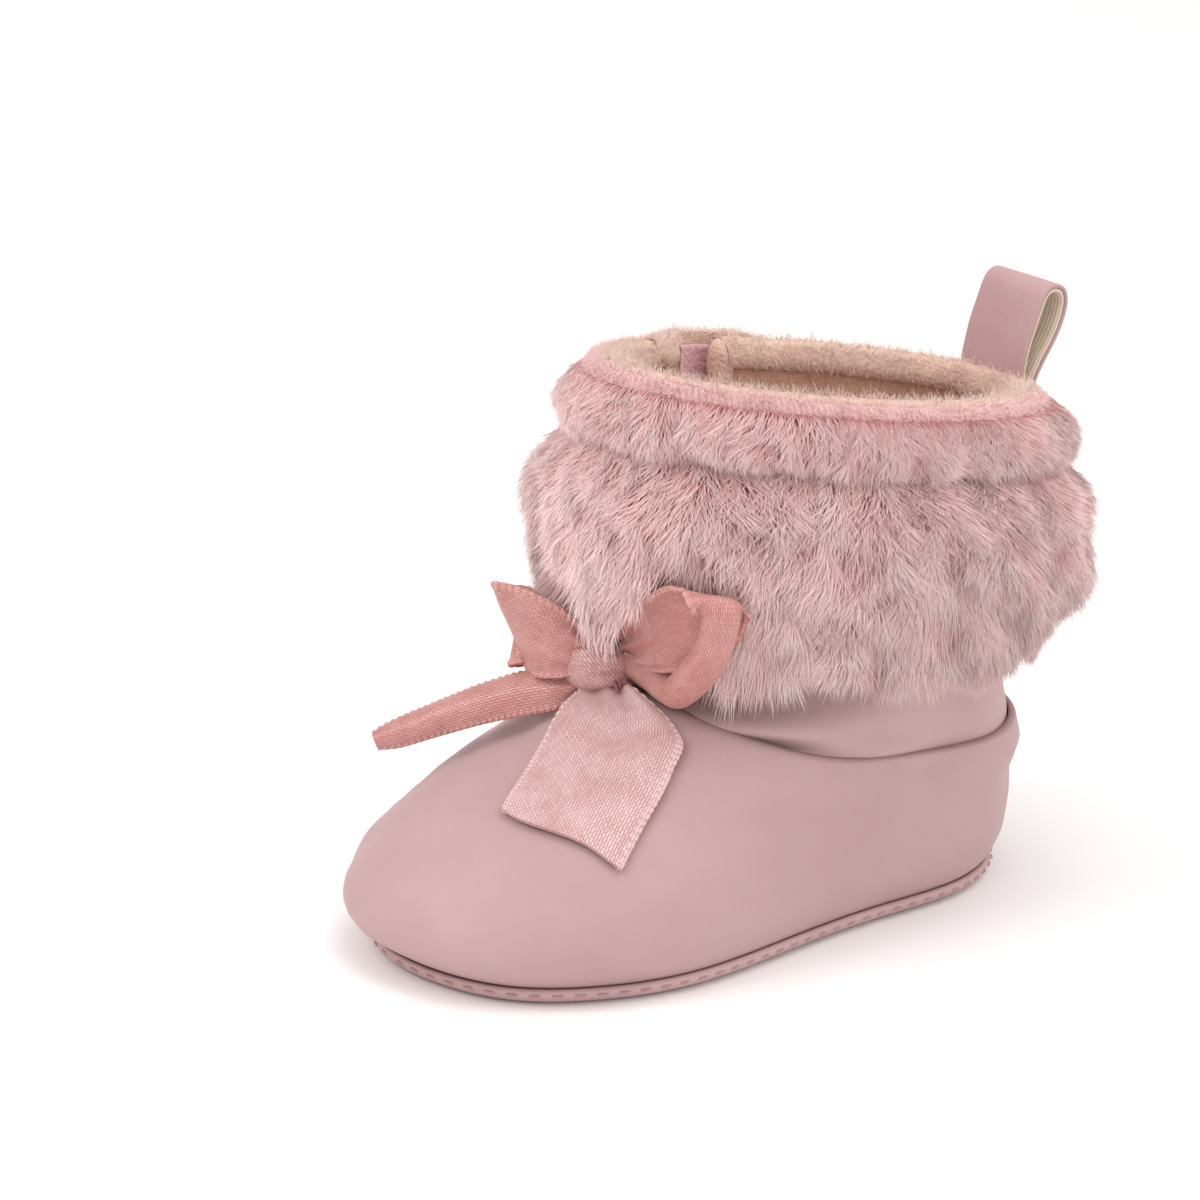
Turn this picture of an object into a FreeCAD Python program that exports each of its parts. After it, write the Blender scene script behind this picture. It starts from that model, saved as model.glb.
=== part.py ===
import FreeCAD, Part
import math
import os

# Soft baby bootie for a right foot. Millimetres. Toe towards -Y, heel towards +Y, inner (medial) side +X,
# outer (lateral) side -X, +Z up. The origin is on the ground, under the middle of the sole's length.

V = FreeCAD.Vector

# ---- driving dimensions -------------------------------------------------------------------------------
LEATHER = 1.2            # outer skin of the foot and the shaft
LINING = 1.15            # brushed knit lining
PLY_GAP = 0.1            # between two plies of one body
BODY_GAP = 0.4           # between two plies of different bodies
SOLE_TOP = 2.9           # seam between outsole and upper
OUTSOLE_SKIN = 1.2
FOOTBED_TOP = 4.9

# Half widths of the last at sole level: share of the length from toe to heel, medial, lateral.
LAST_PLAN = (
    (0.045, 20.0, 12.5),
    (0.155, 28.8, 22.6),
    (0.310, 31.4, 27.0),
    (0.500, 27.2, 25.8),
    (0.680, 23.2, 23.4),
    (0.840, 20.4, 20.8),
    (0.955, 12.0, 12.4),
)
TOE_TIP_X = 3.0

# The last by height: z, toe end y, heel end y, forefoot width factor, heel width factor, share of ellipse,
# half width of that ellipse.
LAST_FORM = (
    (-1.0, -58.4, 58.5, 1.00, 1.00, 0.0, 23.0),
    (3.0, -58.6, 58.7, 1.00, 1.00, 0.0, 23.0),
    (8.0, -63.2, 60.2, 1.05, 1.06, 0.0, 23.0),
    (14.0, -60.8, 60.4, 1.03, 1.09, 0.0, 23.0),
    (20.0, -53.2, 59.8, 0.97, 1.10, 0.0, 23.0),
    (25.0, -44.8, 59.0, 0.91, 1.10, 0.1, 23.0),
    (30.0, -34.8, 58.0, 0.87, 1.10, 0.3, 23.2),
    (35.0, -25.2, 57.2, 0.84, 1.08, 0.6, 23.2),
    (39.0, -18.6, 57.2, 0.82, 1.06, 0.85, 23.2),
    (42.5, -13.6, 57.4, 0.82, 1.04, 1.0, 23.0),
    (48.0, -12.6, 58.0, 0.82, 1.04, 1.0, 23.0),
    (60.0, -14.4, 59.6, 0.82, 1.04, 1.0, 23.2),
    (76.0, -16.8, 61.0, 0.82, 1.04, 1.0, 23.6),
    (102.0, -20.0, 62.6, 0.82, 1.04, 1.0, 23.8),
)

# Height of the upper's top edge along the boot: y, z.
TOPLINE = (
    (-26.0, 46.5),
    (-17.0, 42.0),
    (-7.5, 36.8),
    (11.0, 31.4),
    (40.0, 28.6),
    (70.0, 29.4),
)
TUCK = 4.0               # the shaft goes this far down inside the upper
PUFF = 1.45              # the upper stands this much further out where it covers the shaft

# The rim is a plane that falls towards the heel. The cuff and its groove run parallel to it.
RIM_Z = 87.0
RIM_Y = 21.8
TILT = 0.13
FACING = 1.0
FACING_DEPTH = 11.0

# Fur by height at the middle of the boot: z, thickness of the pile.
CUFF_PILE = ((43.0, 6.0), (47.5, 9.2), (56.0, 10.9), (66.0, 11.0), (73.0, 9.0), (77.2, 4.6))
ROLL_PILE = ((77.8, 4.4), (80.5, 7.0), (84.0, 6.4), (86.6, 3.2))
FUR_BASE = 2 * PLY_GAP + LEATHER

# Side closure on the lateral side.
FLAP_START_Y = 0.0       # fold line of the flap
FOLD_GAP = 1.0
SLIT_END_Y = 17.0        # front edge of the shaft's rear part, under the flap
FLAP_END_Y = 32.0        # free edge of the flap
SLIT_BOTTOM = 36.0       # at the middle of the boot, parallel to the rim
FLAP_LIFT = 4.6          # how far out the flap lies where it covers the rear part
FLAP_OPEN = 60.0         # degrees
NOTCH = math.tan(math.radians(FLAP_OPEN / 2 + 3))    # the fur on each side of the fold slopes back by this
TAPE = 0.8
TAPE_FRONT_Y = 19.0
TAPE_BACK_Y = 30.6
TAPE_LOW_Z = 52.0
TAPE_TOP_Z = 81.0

# Heel pull tab.
TAB_WIDTH = 15.0
TAB_HEIGHT = 18.0
TAB_LEAN = 4.6
TAB_BASE_Y = 62.4
TAB_BASE_Z = 83.9
TAB_STRAP = 0.7
TAB_TAPE = 0.7
TAB_HINGE_GAP = 0.35      # between the tab's sewn-in root and the loop that tilts above it
TAB_ROOT = 0.7           # thickness of that root
TAB_ROOT_LOW = 0.02      # it starts this far above the rim

# Bow at the throat.
RIBBON = 0.6
KNOT = V(1.0, -21.0, 46.2)
KNOT_HALF = V(5.6, 4.4, 3.6)

TAIL_FRONT = ((4.6, -25.6), (9.6, -27.2), (14.0, -32.2), (19.0, -39.8))
TAIL_FRONT_WIDTHS = (7.0, 16.5, 19.5, 19.5)
TAIL_FRONT_ACROSS = (0.82, 0.57)
TAIL_CLEAR = 1.2
TAIL_LEFT = (V(-4.6, -26.0, 43.0), V(-11.3, -33.6, 39.8), V(-17.4, -41.4, 35.0), V(-22.0, -48.5, 29.6))
TAIL_LEFT_WIDTHS = (4.6, 7.0, 6.4, 4.4)
LOOP_RIGHT = (V(8.8, -22.2, 48.6), V(27.2, -14.6, 62.8))
LOOP_LEFT = (V(-6.4, -23.0, 48.4), V(-20.5, -28.0, 54.0))
LOOP_RIGHT_OUT = V(0.62, -0.77, 0.10)
LOOP_LEFT_OUT = V(-0.45, -0.85, 0.10)
LOOP_DEPTH = 6.0
LOOP_WIDTH = 12.0
BOW_ROOM = 5.3           # from the lines of the bow to the pile
TACK = V(7.6, -20.0, 42.4)
TACK_LENGTH = 2.2

STITCH_RADIUS = 0.28
THIN_STITCH = 0.2
QUARTER_Y = 12.0         # seam of the lateral quarter
SEAM_GAP = 0.3
FAR = 200.0
RING_POINTS = 32


# ---- small helpers --------------------------------------------------------------------------------------
def smooth(rows, at, column):
    """Cubic through the rows of a table: the column's value at a place given in the rows' first column."""
    last = len(rows) - 1
    i = 0
    while i < last - 1 and at > rows[i + 1][0]:
        i += 1

    def slope(k):
        a, b = max(k - 1, 0), min(k + 1, last)
        return (rows[b][column] - rows[a][column]) / (rows[b][0] - rows[a][0])

    span = rows[i + 1][0] - rows[i][0]
    t = min(max((at - rows[i][0]) / span, 0.0), 1.0)
    p0, p1 = rows[i][column], rows[i + 1][column]
    m0, m1 = slope(i) * span, slope(i + 1) * span
    return ((2 * t**3 - 3 * t**2 + 1) * p0 + (t**3 - 2 * t**2 + t) * m0
            + (3 * t**2 - 2 * t**3) * p1 + (t**3 - t**2) * m1)


def step(low, high, at):
    """0 below low, 1 above high, smooth between."""
    t = min(max((at - low) / (high - low), 0.0), 1.0)
    return t * t * (3 - 2 * t)


def box(x0, x1, y0, y1, z0, z1):
    return Part.makeBox(x1 - x0, y1 - y0, z1 - z0, V(x0, y0, z0))


def save(name, shape):
    solids = shape.Solids
    if not solids or not all(s.isValid() for s in solids):
        print("CHECK", name, "solids", len(solids), "valid", shape.isValid())
    result = solids[0] if len(solids) == 1 else Part.makeCompound(solids)
    result.exportStep(f"parts/{name}.step")
    print(f"{name:24s} solids {len(solids):3d} volume {result.Volume:9.1f}")


# ---- the last: the surface between the lining and the outer skin ---------------------------------------
sections = {}


def section(z):
    """Closed periodic curve of the last at one height, starting at the toe tip."""
    key = round(z, 3)
    if key in sections:
        return sections[key]
    toe, heel, fore, rear, share, half = (smooth(LAST_FORM, z, c) for c in range(1, 7))

    def width(t, flat):
        foot = flat * (fore * (1 - t) + rear * t)
        ellipse = half * math.sqrt(1 - (2 * t - 1) ** 2)
        return foot * (1 - share) + ellipse * share

    def y_at(t):
        return toe + t * (heel - toe)

    medial = [V(width(t, m), y_at(t), z) for t, m, _ in LAST_PLAN]
    lateral = [V(-width(t, n), y_at(t), z) for t, _, n in LAST_PLAN]
    points = [V(TOE_TIP_X * (1 - share), toe, z)] + medial + [V(0, heel, z)] + lateral[::-1]
    curve = Part.BSplineCurve()
    curve.interpolate(Points=points, PeriodicFlag=True, Parameters=list(range(len(points) + 1)))
    sections[key] = curve
    return curve


TURN = 2 * len(LAST_PLAN) + 2        # parameter length of a section
DZ = 0.5


def on_last(u, z, offset):
    """Point of the last at parameter u and height z, moved out by offset measured square to the surface."""
    u %= TURN
    point = section(z).value(u)
    along = section(z).tangent(u)[0]
    out = V(along.y, -along.x, 0).normalize()
    if callable(offset):
        offset = offset(point)
    lean = (section(z + DZ).value(u) - section(z - DZ).value(u)).dot(out) / (2 * DZ)
    return point + out * (offset * math.sqrt(1 + lean * lean))


def ring(z, offset, tilt=0.0, count=RING_POINTS):
    """Flat closed ring of points round the last. With tilt, the ring's plane falls towards the heel."""
    points = []
    for k in range(count):
        u = TURN * k / count
        height = z
        for _ in range(2 if tilt else 0):
            height = z - tilt * (on_last(u, height, offset).y - RIM_Y)
        p = on_last(u, height, offset)
        points.append(V(p.x, p.y, z - tilt * (p.y - RIM_Y)))
    return points


def ring_wire(points):
    curve = Part.BSplineCurve()
    curve.interpolate(Points=points, PeriodicFlag=True)
    return Part.Wire(curve.toShape())


def solid_of(faces):
    """Closed solid of faces that meet edge to edge."""
    shell = Part.makeShell(faces)
    shell.sewShape()
    solid = Part.makeSolid(shell)
    if solid.Volume < 0:
        solid.reverse()
    return solid


def stepped_body(rows):
    """Solid inside the last, whose offset changes with height: rows of (z, offset)."""
    return Part.makeLoft([ring_wire(ring(z, offset)) for z, offset in rows], True, False)


def tube(heights, inner, outer, tilt=0.0):
    """Closed wall round the last between two offsets, from the first height to the last one."""
    inner_wires = [ring_wire(ring(z, inner, tilt)) for z in heights]
    outer_wires = [ring_wire(ring(z, outer, tilt)) for z in heights]
    faces = Part.makeLoft(inner_wires, False, False).Faces + Part.makeLoft(outer_wires, False, False).Faces
    for k in (0, -1):
        faces.append(Part.makeFace([outer_wires[k], inner_wires[k]], "Part::FaceMakerBullseye"))
    return solid_of(faces)


SAME_WAY = 1             # a ruled surface joins two edges in the direction they run


def wall(inner_grid, outer_grid):
    """Solid between two open grids of points with the same number of rows and columns."""
    surfaces = []
    for grid in (inner_grid, outer_grid):
        surface = Part.BSplineSurface()
        surface.interpolate(grid)
        surfaces.append(surface)
    faces = [s.toShape() for s in surfaces]
    for inner_edge, outer_edge in zip(faces[0].Edges, faces[1].Edges):
        faces.append(Part.makeRuledSurface(inner_edge, outer_edge, SAME_WAY))
    return solid_of(faces)


def tilted_point(u, z, offset):
    """Point at parameter u on the plane that crosses the boot's middle at z and falls towards the heel."""
    height = z
    for _ in range(2):
        height = z - TILT * (on_last(u, height, offset).y - RIM_Y)
    p = on_last(u, height, offset)
    return V(p.x, p.y, z - TILT * (p.y - RIM_Y))


def side_u(y, z):
    """Parameter of the lateral side at y, on the tilted plane that crosses the boot's middle at z."""
    height = z - TILT * (y - RIM_Y)
    low, high = TURN / 2, TURN
    for _ in range(24):
        middle = (low + high) / 2
        if section(height).value(middle).y > y:
            low = middle
        else:
            high = middle
    return (low + high) / 2


FOOT_HEIGHTS = (3.0, 5.5, 8.0, 11.0, 14.0, 17.0, 20.0, 22.5, 25.0, 27.5, 30.0, 32.5, 35.0, 37.0, 39.0, 41.0, 43.5, 46.0)
SHAFT_HEIGHTS = [29.0 + (RIM_Z - 29.0) * k / 15 for k in range(16)]


def above(rows, drop=0.0):
    """Everything higher than a curve given as (y, z) rows, across the whole width."""
    curve = Part.BSplineCurve()
    curve.interpolate(Points=[V(-FAR, y, z - drop) for y, z in rows])
    first, last = rows[0][0], rows[-1][0]
    corners = [curve.EndPoint, V(-FAR, last, FAR), V(-FAR, first, FAR), curve.StartPoint]
    sides = [Part.LineSegment(a, b).toShape() for a, b in zip(corners, corners[1:])]
    return Part.Face(Part.Wire([curve.toShape()] + sides)).extrude(V(2 * FAR, 0, 0))


def above_topline(drop=0.0):
    return above(((-90.0, 49.0), (-50.0, 48.5)) + TOPLINE + ((100.0, 29.6),), drop)


def above_tilted(z):
    """Everything higher than the tilted plane that crosses the boot's middle at z."""
    return above([(y, z - TILT * (y - RIM_Y)) for y in (-90.0, 0.0, 110.0)])


def topline_z(y):
    return smooth(TOPLINE, min(max(y, TOPLINE[0][0]), TOPLINE[-1][0]), 1)


# ---- sole ---------------------------------------------------------------------------------------------------
def make_outsole():
    skin = PLY_GAP + LEATHER
    outer = stepped_body([(0.0, skin - 4.2), (0.5, skin - 1.9), (1.4, skin - 0.5), (2.2, skin), (SOLE_TOP, skin)])
    hollow = stepped_body([(OUTSOLE_SKIN, -2.4), (1.8, -0.7), (2.4, -0.1), (SOLE_TOP + 1, -0.1)])
    return outer.cut(hollow)


def make_sole_foam():
    low = OUTSOLE_SKIN + PLY_GAP
    return stepped_body([(low, -2.8), (1.9, -1.2), (2.4, -1.0), (SOLE_TOP, -1.0)])


def make_footbed():
    edge = -LINING - 3 * PLY_GAP
    return stepped_body([(SOLE_TOP + PLY_GAP, edge - 0.6), (3.6, edge), (4.3, edge), (FOOTBED_TOP, edge - 0.8)])


# ---- foot ---------------------------------------------------------------------------------------------------
def puff(point):
    """Extra offset of the upper close below its top edge, where it covers the shaft."""
    depth = topline_z(point.y) - point.z
    return PUFF * (1 - step(TUCK, TUCK + 6.0, depth))


def make_foot_shell():
    shell = tube(FOOT_HEIGHTS, lambda p: PLY_GAP + puff(p), lambda p: PLY_GAP + LEATHER + puff(p))
    return shell.cut(above_topline())


def split_foot_shell(shell):
    """The lateral quarter runs from the side seam to the seam up the middle of the heel."""
    half = SEAM_GAP / 2
    quarter = shell.common(box(-FAR, -half, QUARTER_Y + half, FAR, 0, FAR))
    upper = shell.cut(box(-FAR, half, QUARTER_Y - half, FAR, 0, FAR))
    return upper, quarter


def make_foot_lining():
    return tube(FOOT_HEIGHTS, -LINING, 0.0).cut(above_topline(TUCK / 2 + PLY_GAP))


# ---- shaft --------------------------------------------------------------------------------------------------
def slit():
    """The side opening, from its bottom to the rim."""
    return box(-FAR, 0, FLAP_START_Y, SLIT_END_Y, 0, FAR).common(above_tilted(SLIT_BOTTOM))


def make_shaft_panel():
    ply = tube(SHAFT_HEIGHTS, PLY_GAP, PLY_GAP + LEATHER, TILT)
    return ply.common(above_topline(TUCK)).cut(slit())


def make_shaft_lining():
    ply = tube(SHAFT_HEIGHTS, -LINING, 0.0, TILT)
    return ply.common(above_topline(TUCK / 2 - PLY_GAP)).cut(slit())


def around(rows, front, back, spread=0.0, shape=None, columns=72):
    """Open band round the fixed part of the boot, from the fold line by way of the toe to the place back.

    Rows are (z, inner offset, outer offset). Spread takes the outer surface's end at the fold line this many
    millimetres further back for each millimetre of the band's thickness. Shape turns the outer offset into a
    function of the place.
    """
    grids = []
    for column, share in ((1, 0.0), (2, spread)):
        grid = []
        for row in rows:
            z, thick = row[0], row[2] - row[1]
            u_from = side_u(front - share * thick, z) - TURN
            u_to = side_u(back, z)
            offset = shape(row[2]) if shape and column == 2 else row[column]
            grid.append([tilted_point(u_from + (u_to - u_from) * j / (columns - 1), z, offset)
                         for j in range(columns)])
        grids.append(grid)
    return wall(*grids)


def make_rim_facing():
    outer = -LINING - PLY_GAP
    heights = [RIM_Z - FACING_DEPTH * k / 4 for k in range(4, -1, -1)]
    return around([(z, outer - FACING, outer) for z in heights], FLAP_START_Y - BODY_GAP, SLIT_END_Y + 0.6)


# ---- side flap ----------------------------------------------------------------------------------------------
def lift(y):
    """How far the flap stands out from the last: flush at its fold, over the rear part at its free edge."""
    return FLAP_LIFT * step(FLAP_START_Y, SLIT_END_Y - 2.0, y)


def flap_piece(rows, front=FLAP_START_Y + FOLD_GAP, back=FLAP_END_Y, spread=0.0, thin=0.0, columns=16):
    """Curved piece of the flap. Rows are (z, inner offset, outer offset), both on top of the flap's own lift.

    Spread is the same as in around. Thin takes this share off the thickness where the flap is fully lifted.
    """
    grids = []
    for column, share in ((1, 0.0), (2, spread)):
        grid = []
        for row in rows:
            z, thick = row[0], row[2] - row[1]
            start = front + share * thick
            line = []
            for j in range(columns):
                y = start + (back - start) * j / (columns - 1)
                offset = row[column] + lift(y)
                if column == 2:
                    offset -= thin * thick * lift(y) / FLAP_LIFT
                line.append(tilted_point(side_u(y, z), z, offset))
            grid.append(line)
        grids.append(grid)
    return wall(*grids)


def flap_rows(inner, outer, low=SLIT_BOTTOM + BODY_GAP, high=RIM_Z, count=7):
    return [(low + (high - low) * k / (count - 1), inner, outer) for k in range(count)]


def rounded_corner(shape):
    """The flap's top corner at its free edge is round."""
    radius = 9.0
    back = FLAP_END_Y + 1.4
    top = RIM_Z - TILT * (back - RIM_Y)
    corner = box(-FAR, 0, back - radius, back + 4, top - radius, FAR)
    disc = Part.makeCylinder(radius, FAR, V(-FAR, back - radius, top - radius), V(1, 0, 0))
    return shape.cut(corner.cut(disc))


def make_flap_panel():
    return rounded_corner(flap_piece(flap_rows(PLY_GAP, PLY_GAP + LEATHER)))


def make_flap_lining():
    return rounded_corner(flap_piece(flap_rows(-LINING, 0.0)))


def make_flap_facing():
    """Facing band along the flap's top edge, in front of the part that covers the shaft."""
    outer = -PLY_GAP - LINING
    return flap_piece(flap_rows(outer - FACING, outer, RIM_Z - FACING_DEPTH), back=SLIT_END_Y - 4.0)


def tape(inner, outer):
    """Hook or loop tape: a patch on the overlap."""
    grids = []
    for offset in (inner, outer):
        grid = []
        for k in range(5):
            z = TAPE_LOW_Z + (TAPE_TOP_Z - TAPE_LOW_Z) * k / 4
            places = [TAPE_FRONT_Y + (TAPE_BACK_Y - TAPE_FRONT_Y) * j / 7 for j in range(8)]
            grid.append([tilted_point(side_u(y, z), z, offset) for y in places])
        grids.append(grid)
    return wall(*grids)


def make_loop_tape():
    base = 2 * PLY_GAP + LEATHER
    return tape(base, base + TAPE)


def make_hook_tape():
    base = FLAP_LIFT - PLY_GAP - LINING
    return tape(base - TAPE, base)


def hinge_point():
    """The fold line stands just outside the shaft's skin, at the skin's furthest point out."""
    heights = (SLIT_BOTTOM, 50.0, 70.0, RIM_Z)
    skins = [tilted_point(side_u(FLAP_START_Y, z), z, PLY_GAP + LEATHER) for z in heights]
    return V(min(p.x for p in skins) - 0.1, FLAP_START_Y, 0)


# ---- fur ----------------------------------------------------------------------------------------------------
def fur_rows(pile):
    return [(z, FUR_BASE, FUR_BASE + thick) for z, thick in pile]


def bow_lines():
    """Lines along the middle and both edges of each bow loop, and the one between their roots."""
    lines = [(LOOP_LEFT[0], LOOP_RIGHT[0])]
    for (root, tip), out in ((LOOP_RIGHT, LOOP_RIGHT_OUT), (LOOP_LEFT, LOOP_LEFT_OUT)):
        across = (tip - root).cross(out).normalize()
        for side in (-0.45, 0.0, 0.45):
            lines.append((root + across * (side * LOOP_WIDTH), tip + across * (side * LOOP_WIDTH)))
    return lines


def gap_to_line(point, start, end):
    along = end - start
    share = min(max((point - start).dot(along) / along.dot(along), 0.0), 1.0)
    return (point - start - along * share).Length


def pressed(offset):
    """The pile's outer offset, pressed down where the bow lies on it."""
    lines = bow_lines()

    def at(point):
        room = min(gap_to_line(point, *line) for line in lines) - BOW_ROOM
        return max(min(offset, room), FUR_BASE + 1.0)
    return at


def make_fixed_fur(pile):
    return around(fur_rows(pile), FLAP_START_Y - BODY_GAP, FLAP_END_Y + 2.2, NOTCH, pressed)


def make_flap_fur(pile):
    return flap_piece(fur_rows(pile), spread=NOTCH, thin=0.38)


# ---- pull tab -----------------------------------------------------------------------------------------------
def tab_outline(inset):
    """Teardrop loop seen along X: narrow at the rim, round at the top, leaning back."""
    rows = ((-1.9, 0.0), (-2.9, 0.30), (-4.1, 0.62), (-3.8, 0.87), (-1.0, 1.0),
            (2.5, 0.97), (5.0, 0.80), (4.9, 0.55), (3.2, 0.26), (1.9, 0.0))
    points = [V(0, TAB_BASE_Y + y + TAB_LEAN * h, TAB_BASE_Z + TAB_HEIGHT * h) for y, h in rows]
    moved = []
    for i, p in enumerate(points):
        along = (points[min(i + 1, len(points) - 1)] - points[max(i - 1, 0)]).normalize()
        moved.append(p + V(0, along.z, -along.y) * inset)
    return moved


def tab_ply(outer_inset, inner_inset):
    """One ply of the loop: open at the bottom, as wide as the tab."""
    curves = []
    for inset in (outer_inset, inner_inset):
        curve = Part.BSplineCurve()
        curve.interpolate(Points=[p - V(TAB_WIDTH / 2, 0, 0) for p in tab_outline(inset)])
        curves.append(curve)
    outer, inner = curves
    caps = [Part.LineSegment(outer.StartPoint, inner.StartPoint), Part.LineSegment(outer.EndPoint, inner.EndPoint)]
    wire = Part.Wire(Part.__sortEdges__([c.toShape() for c in (outer, caps[1], inner, caps[0])]))
    return Part.Face(wire).extrude(V(TAB_WIDTH, 0, 0))


def make_tab_root():
    """The tab's end that is sewn to the rim. The loop tilts above it."""
    half = TAB_WIDTH / 2
    front, back = TAB_BASE_Y - TAB_ROOT / 2, TAB_BASE_Y + TAB_ROOT / 2
    top = TAB_BASE_Z - TAB_HINGE_GAP
    block = box(-half, half, front, back, RIM_Z - FACING_DEPTH, top)
    on_rim = above([(y, RIM_Z + TAB_ROOT_LOW - TILT * (y - RIM_Y)) for y in (-90.0, 0.0, 110.0)])
    return block.common(on_rim)


# ---- bow ----------------------------------------------------------------------------------------------------
def make_knot():
    matrix = FreeCAD.Matrix()
    matrix.scale(KNOT_HALF)
    knot = Part.makeSphere(1.0).transformGeometry(matrix)
    knot.translate(KNOT)
    return knot


def loop_band(root, tip, out, depth, width):
    """Bow loop: a closed band of ribbon from root to tip, lying flat to the fur."""
    u = tip - root
    length = u.Length
    u.normalize()
    n = (out - u * out.dot(u)).normalize()
    w = u.cross(n)
    rows = ((0.0, 0.0), (0.35, 0.42), (0.75, 0.5), (1.0, 0.0), (0.75, -0.5), (0.35, -0.42))

    def face(shrink):
        points = []
        for along, side in rows:
            a = 0.5 * length + (along - 0.5) * (length - 2 * shrink)
            points.append(root + u * a + n * (side * (depth - 2 * shrink)) - w * (width / 2))
        curve = Part.BSplineCurve()
        curve.interpolate(Points=points, PeriodicFlag=True)
        return Part.Face(Part.Wire(curve.toShape()))

    hole = face(RIBBON)
    hole.translate(w * -1.0)
    return face(0.0).extrude(w * width).cut(hole.extrude(w * (width + 2.0)))


def ribbon(grid):
    """Ribbon whose underside is a grid of points."""
    rows, columns = len(grid), len(grid[0])
    top = []
    for i in range(rows):
        line = []
        for j in range(columns):
            along = grid[min(i + 1, rows - 1)][j] - grid[max(i - 1, 0)][j]
            across = grid[i][min(j + 1, columns - 1)] - grid[i][max(j - 1, 0)]
            normal = along.cross(across).normalize()
            line.append(grid[i][j] + normal * (RIBBON if normal.z > 0 else -RIBBON))
        top.append(line)
    return wall(grid, top)


def inside(points, x, y):
    """Is (x, y) inside the closed ring?"""
    found = False
    for a, b in zip(points, points[1:] + points[:1]):
        if (a.y > y) != (b.y > y) and x < a.x + (y - a.y) * (b.x - a.x) / (b.y - a.y):
            found = not found
    return found


def vamp_z(x, y):
    """Height of the upper's outside at (x, y), on the front of the foot."""
    low, high = 6.0, 43.0
    for _ in range(9):
        z = (low + high) / 2
        if inside(ring(z, lambda p: PLY_GAP + LEATHER + puff(p)), x, y):
            low = z
        else:
            high = z
    return (low + high) / 2


def make_tail_front():
    grid = []
    for (x, y), width in zip(TAIL_FRONT, TAIL_FRONT_WIDTHS):
        places = [(x + TAIL_FRONT_ACROSS[0] * width * s, y + TAIL_FRONT_ACROSS[1] * width * s)
                  for s in (-0.5, -0.25, 0.0, 0.25, 0.5)]
        grid.append([V(px, py, vamp_z(px, py) + TAIL_CLEAR) for px, py in places])
    return ribbon(grid)


def make_tail_left():
    across = V(0.72, -0.52, -0.46).normalize()
    grid = [[p + across * (width * s) for s in (-0.5, -0.17, 0.17, 0.5)]
            for p, width in zip(TAIL_LEFT, TAIL_LEFT_WIDTHS)]
    return ribbon(grid)


# ---- stitches -----------------------------------------------------------------------------------------------
def stitches(points, pitch, length, radius=STITCH_RADIUS):
    """Short straight threads along a row of points, one every pitch."""
    reached = [0.0]
    for a, b in zip(points, points[1:]):
        reached.append(reached[-1] + (b - a).Length)

    def place(distance):
        i = max(k for k in range(len(points) - 1) if reached[k] <= distance)
        share = (distance - reached[i]) / (reached[i + 1] - reached[i])
        return points[i] + (points[i + 1] - points[i]) * share

    made = []
    at = 0.3
    while at + length < reached[-1]:
        start, end = place(at), place(at + length)
        made.append(Part.makeCylinder(radius, (end - start).Length, start, end - start))
        at += pitch
    return Part.makeCompound(made)


def fixed_line(z, offset):
    """Points round the fixed part of the shaft on a tilted plane, clear of the flap's two edges."""
    u_from = side_u(FLAP_START_Y - 7.0, z) - TURN
    u_to = side_u(FLAP_END_Y + 2.6, z)
    return [tilted_point(u_from + (u_to - u_from) * k / 150, z, offset) for k in range(151)]


def make_sole_stitches():
    offset = PLY_GAP + LEATHER + STITCH_RADIUS + 0.12
    return stitches([on_last(TURN * k / 200, 2.2, offset) for k in range(201)], 4.2, 2.4)


def make_groove_stitches():
    z = (CUFF_PILE[-1][0] + ROLL_PILE[0][0]) / 2
    return stitches(fixed_line(z, FUR_BASE + CUFF_PILE[-1][1] + STITCH_RADIUS + 0.15), 4.0, 2.6)


def make_facing_stitches():
    offset = -LINING - PLY_GAP - FACING - THIN_STITCH - 0.15
    return stitches(fixed_line(RIM_Z - FACING_DEPTH + 1.5, offset), 3.6, 2.2, THIN_STITCH)


def make_topline_stitches():
    """Hidden seam that joins the upper to the shaft, on the inside of the fold at the upper's top edge."""
    line = []
    for k in range(151):
        u = TURN * (0.10 + 0.80 * k / 150)
        p = V(0, 0, 0)
        for _ in range(3):
            z = topline_z(p.y) + 0.25
            p = on_last(u, z, PLY_GAP + LEATHER + THIN_STITCH + 0.05)
        line.append(p)
    return stitches(line, 4.0, 2.4, THIN_STITCH)


def side_seam_point(z):
    """Place on the quarter beside the side seam."""
    low, high = TURN / 2, TURN
    for _ in range(24):
        u = (low + high) / 2
        p = on_last(u, z, PLY_GAP + LEATHER)
        low, high = (u, high) if p.y > QUARTER_Y + 1.3 else (low, u)
    return on_last(u, z, PLY_GAP + LEATHER + puff(p) + STITCH_RADIUS + 0.15)


def heel_seam_point(z):
    """Place on the quarter beside the heel seam."""
    u = TURN / 2 + 0.06
    p = on_last(u, z, PLY_GAP + LEATHER)
    return on_last(u, z, PLY_GAP + LEATHER + puff(p) + STITCH_RADIUS + 0.15)


def seam_stitches(place, top):
    low = 4.4
    return stitches([place(low + (top - low) * k / 24) for k in range(25)], 3.4, 2.0)


def make_tack_thread():
    """Thread that tacks the bow down to the throat, in the corner beside the knot."""
    made = []
    for k in range(5):
        turn = math.radians(36 * k)
        along = V(math.cos(turn), 0.35 * math.sin(turn), 0.8 * math.sin(turn)).normalize()
        start = TACK - along * (TACK_LENGTH / 2) + V(0, -0.64 * k, 0.1 * k)
        made.append(Part.makeCylinder(STITCH_RADIUS, TACK_LENGTH, start, along))
    return Part.makeCompound(made)


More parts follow.
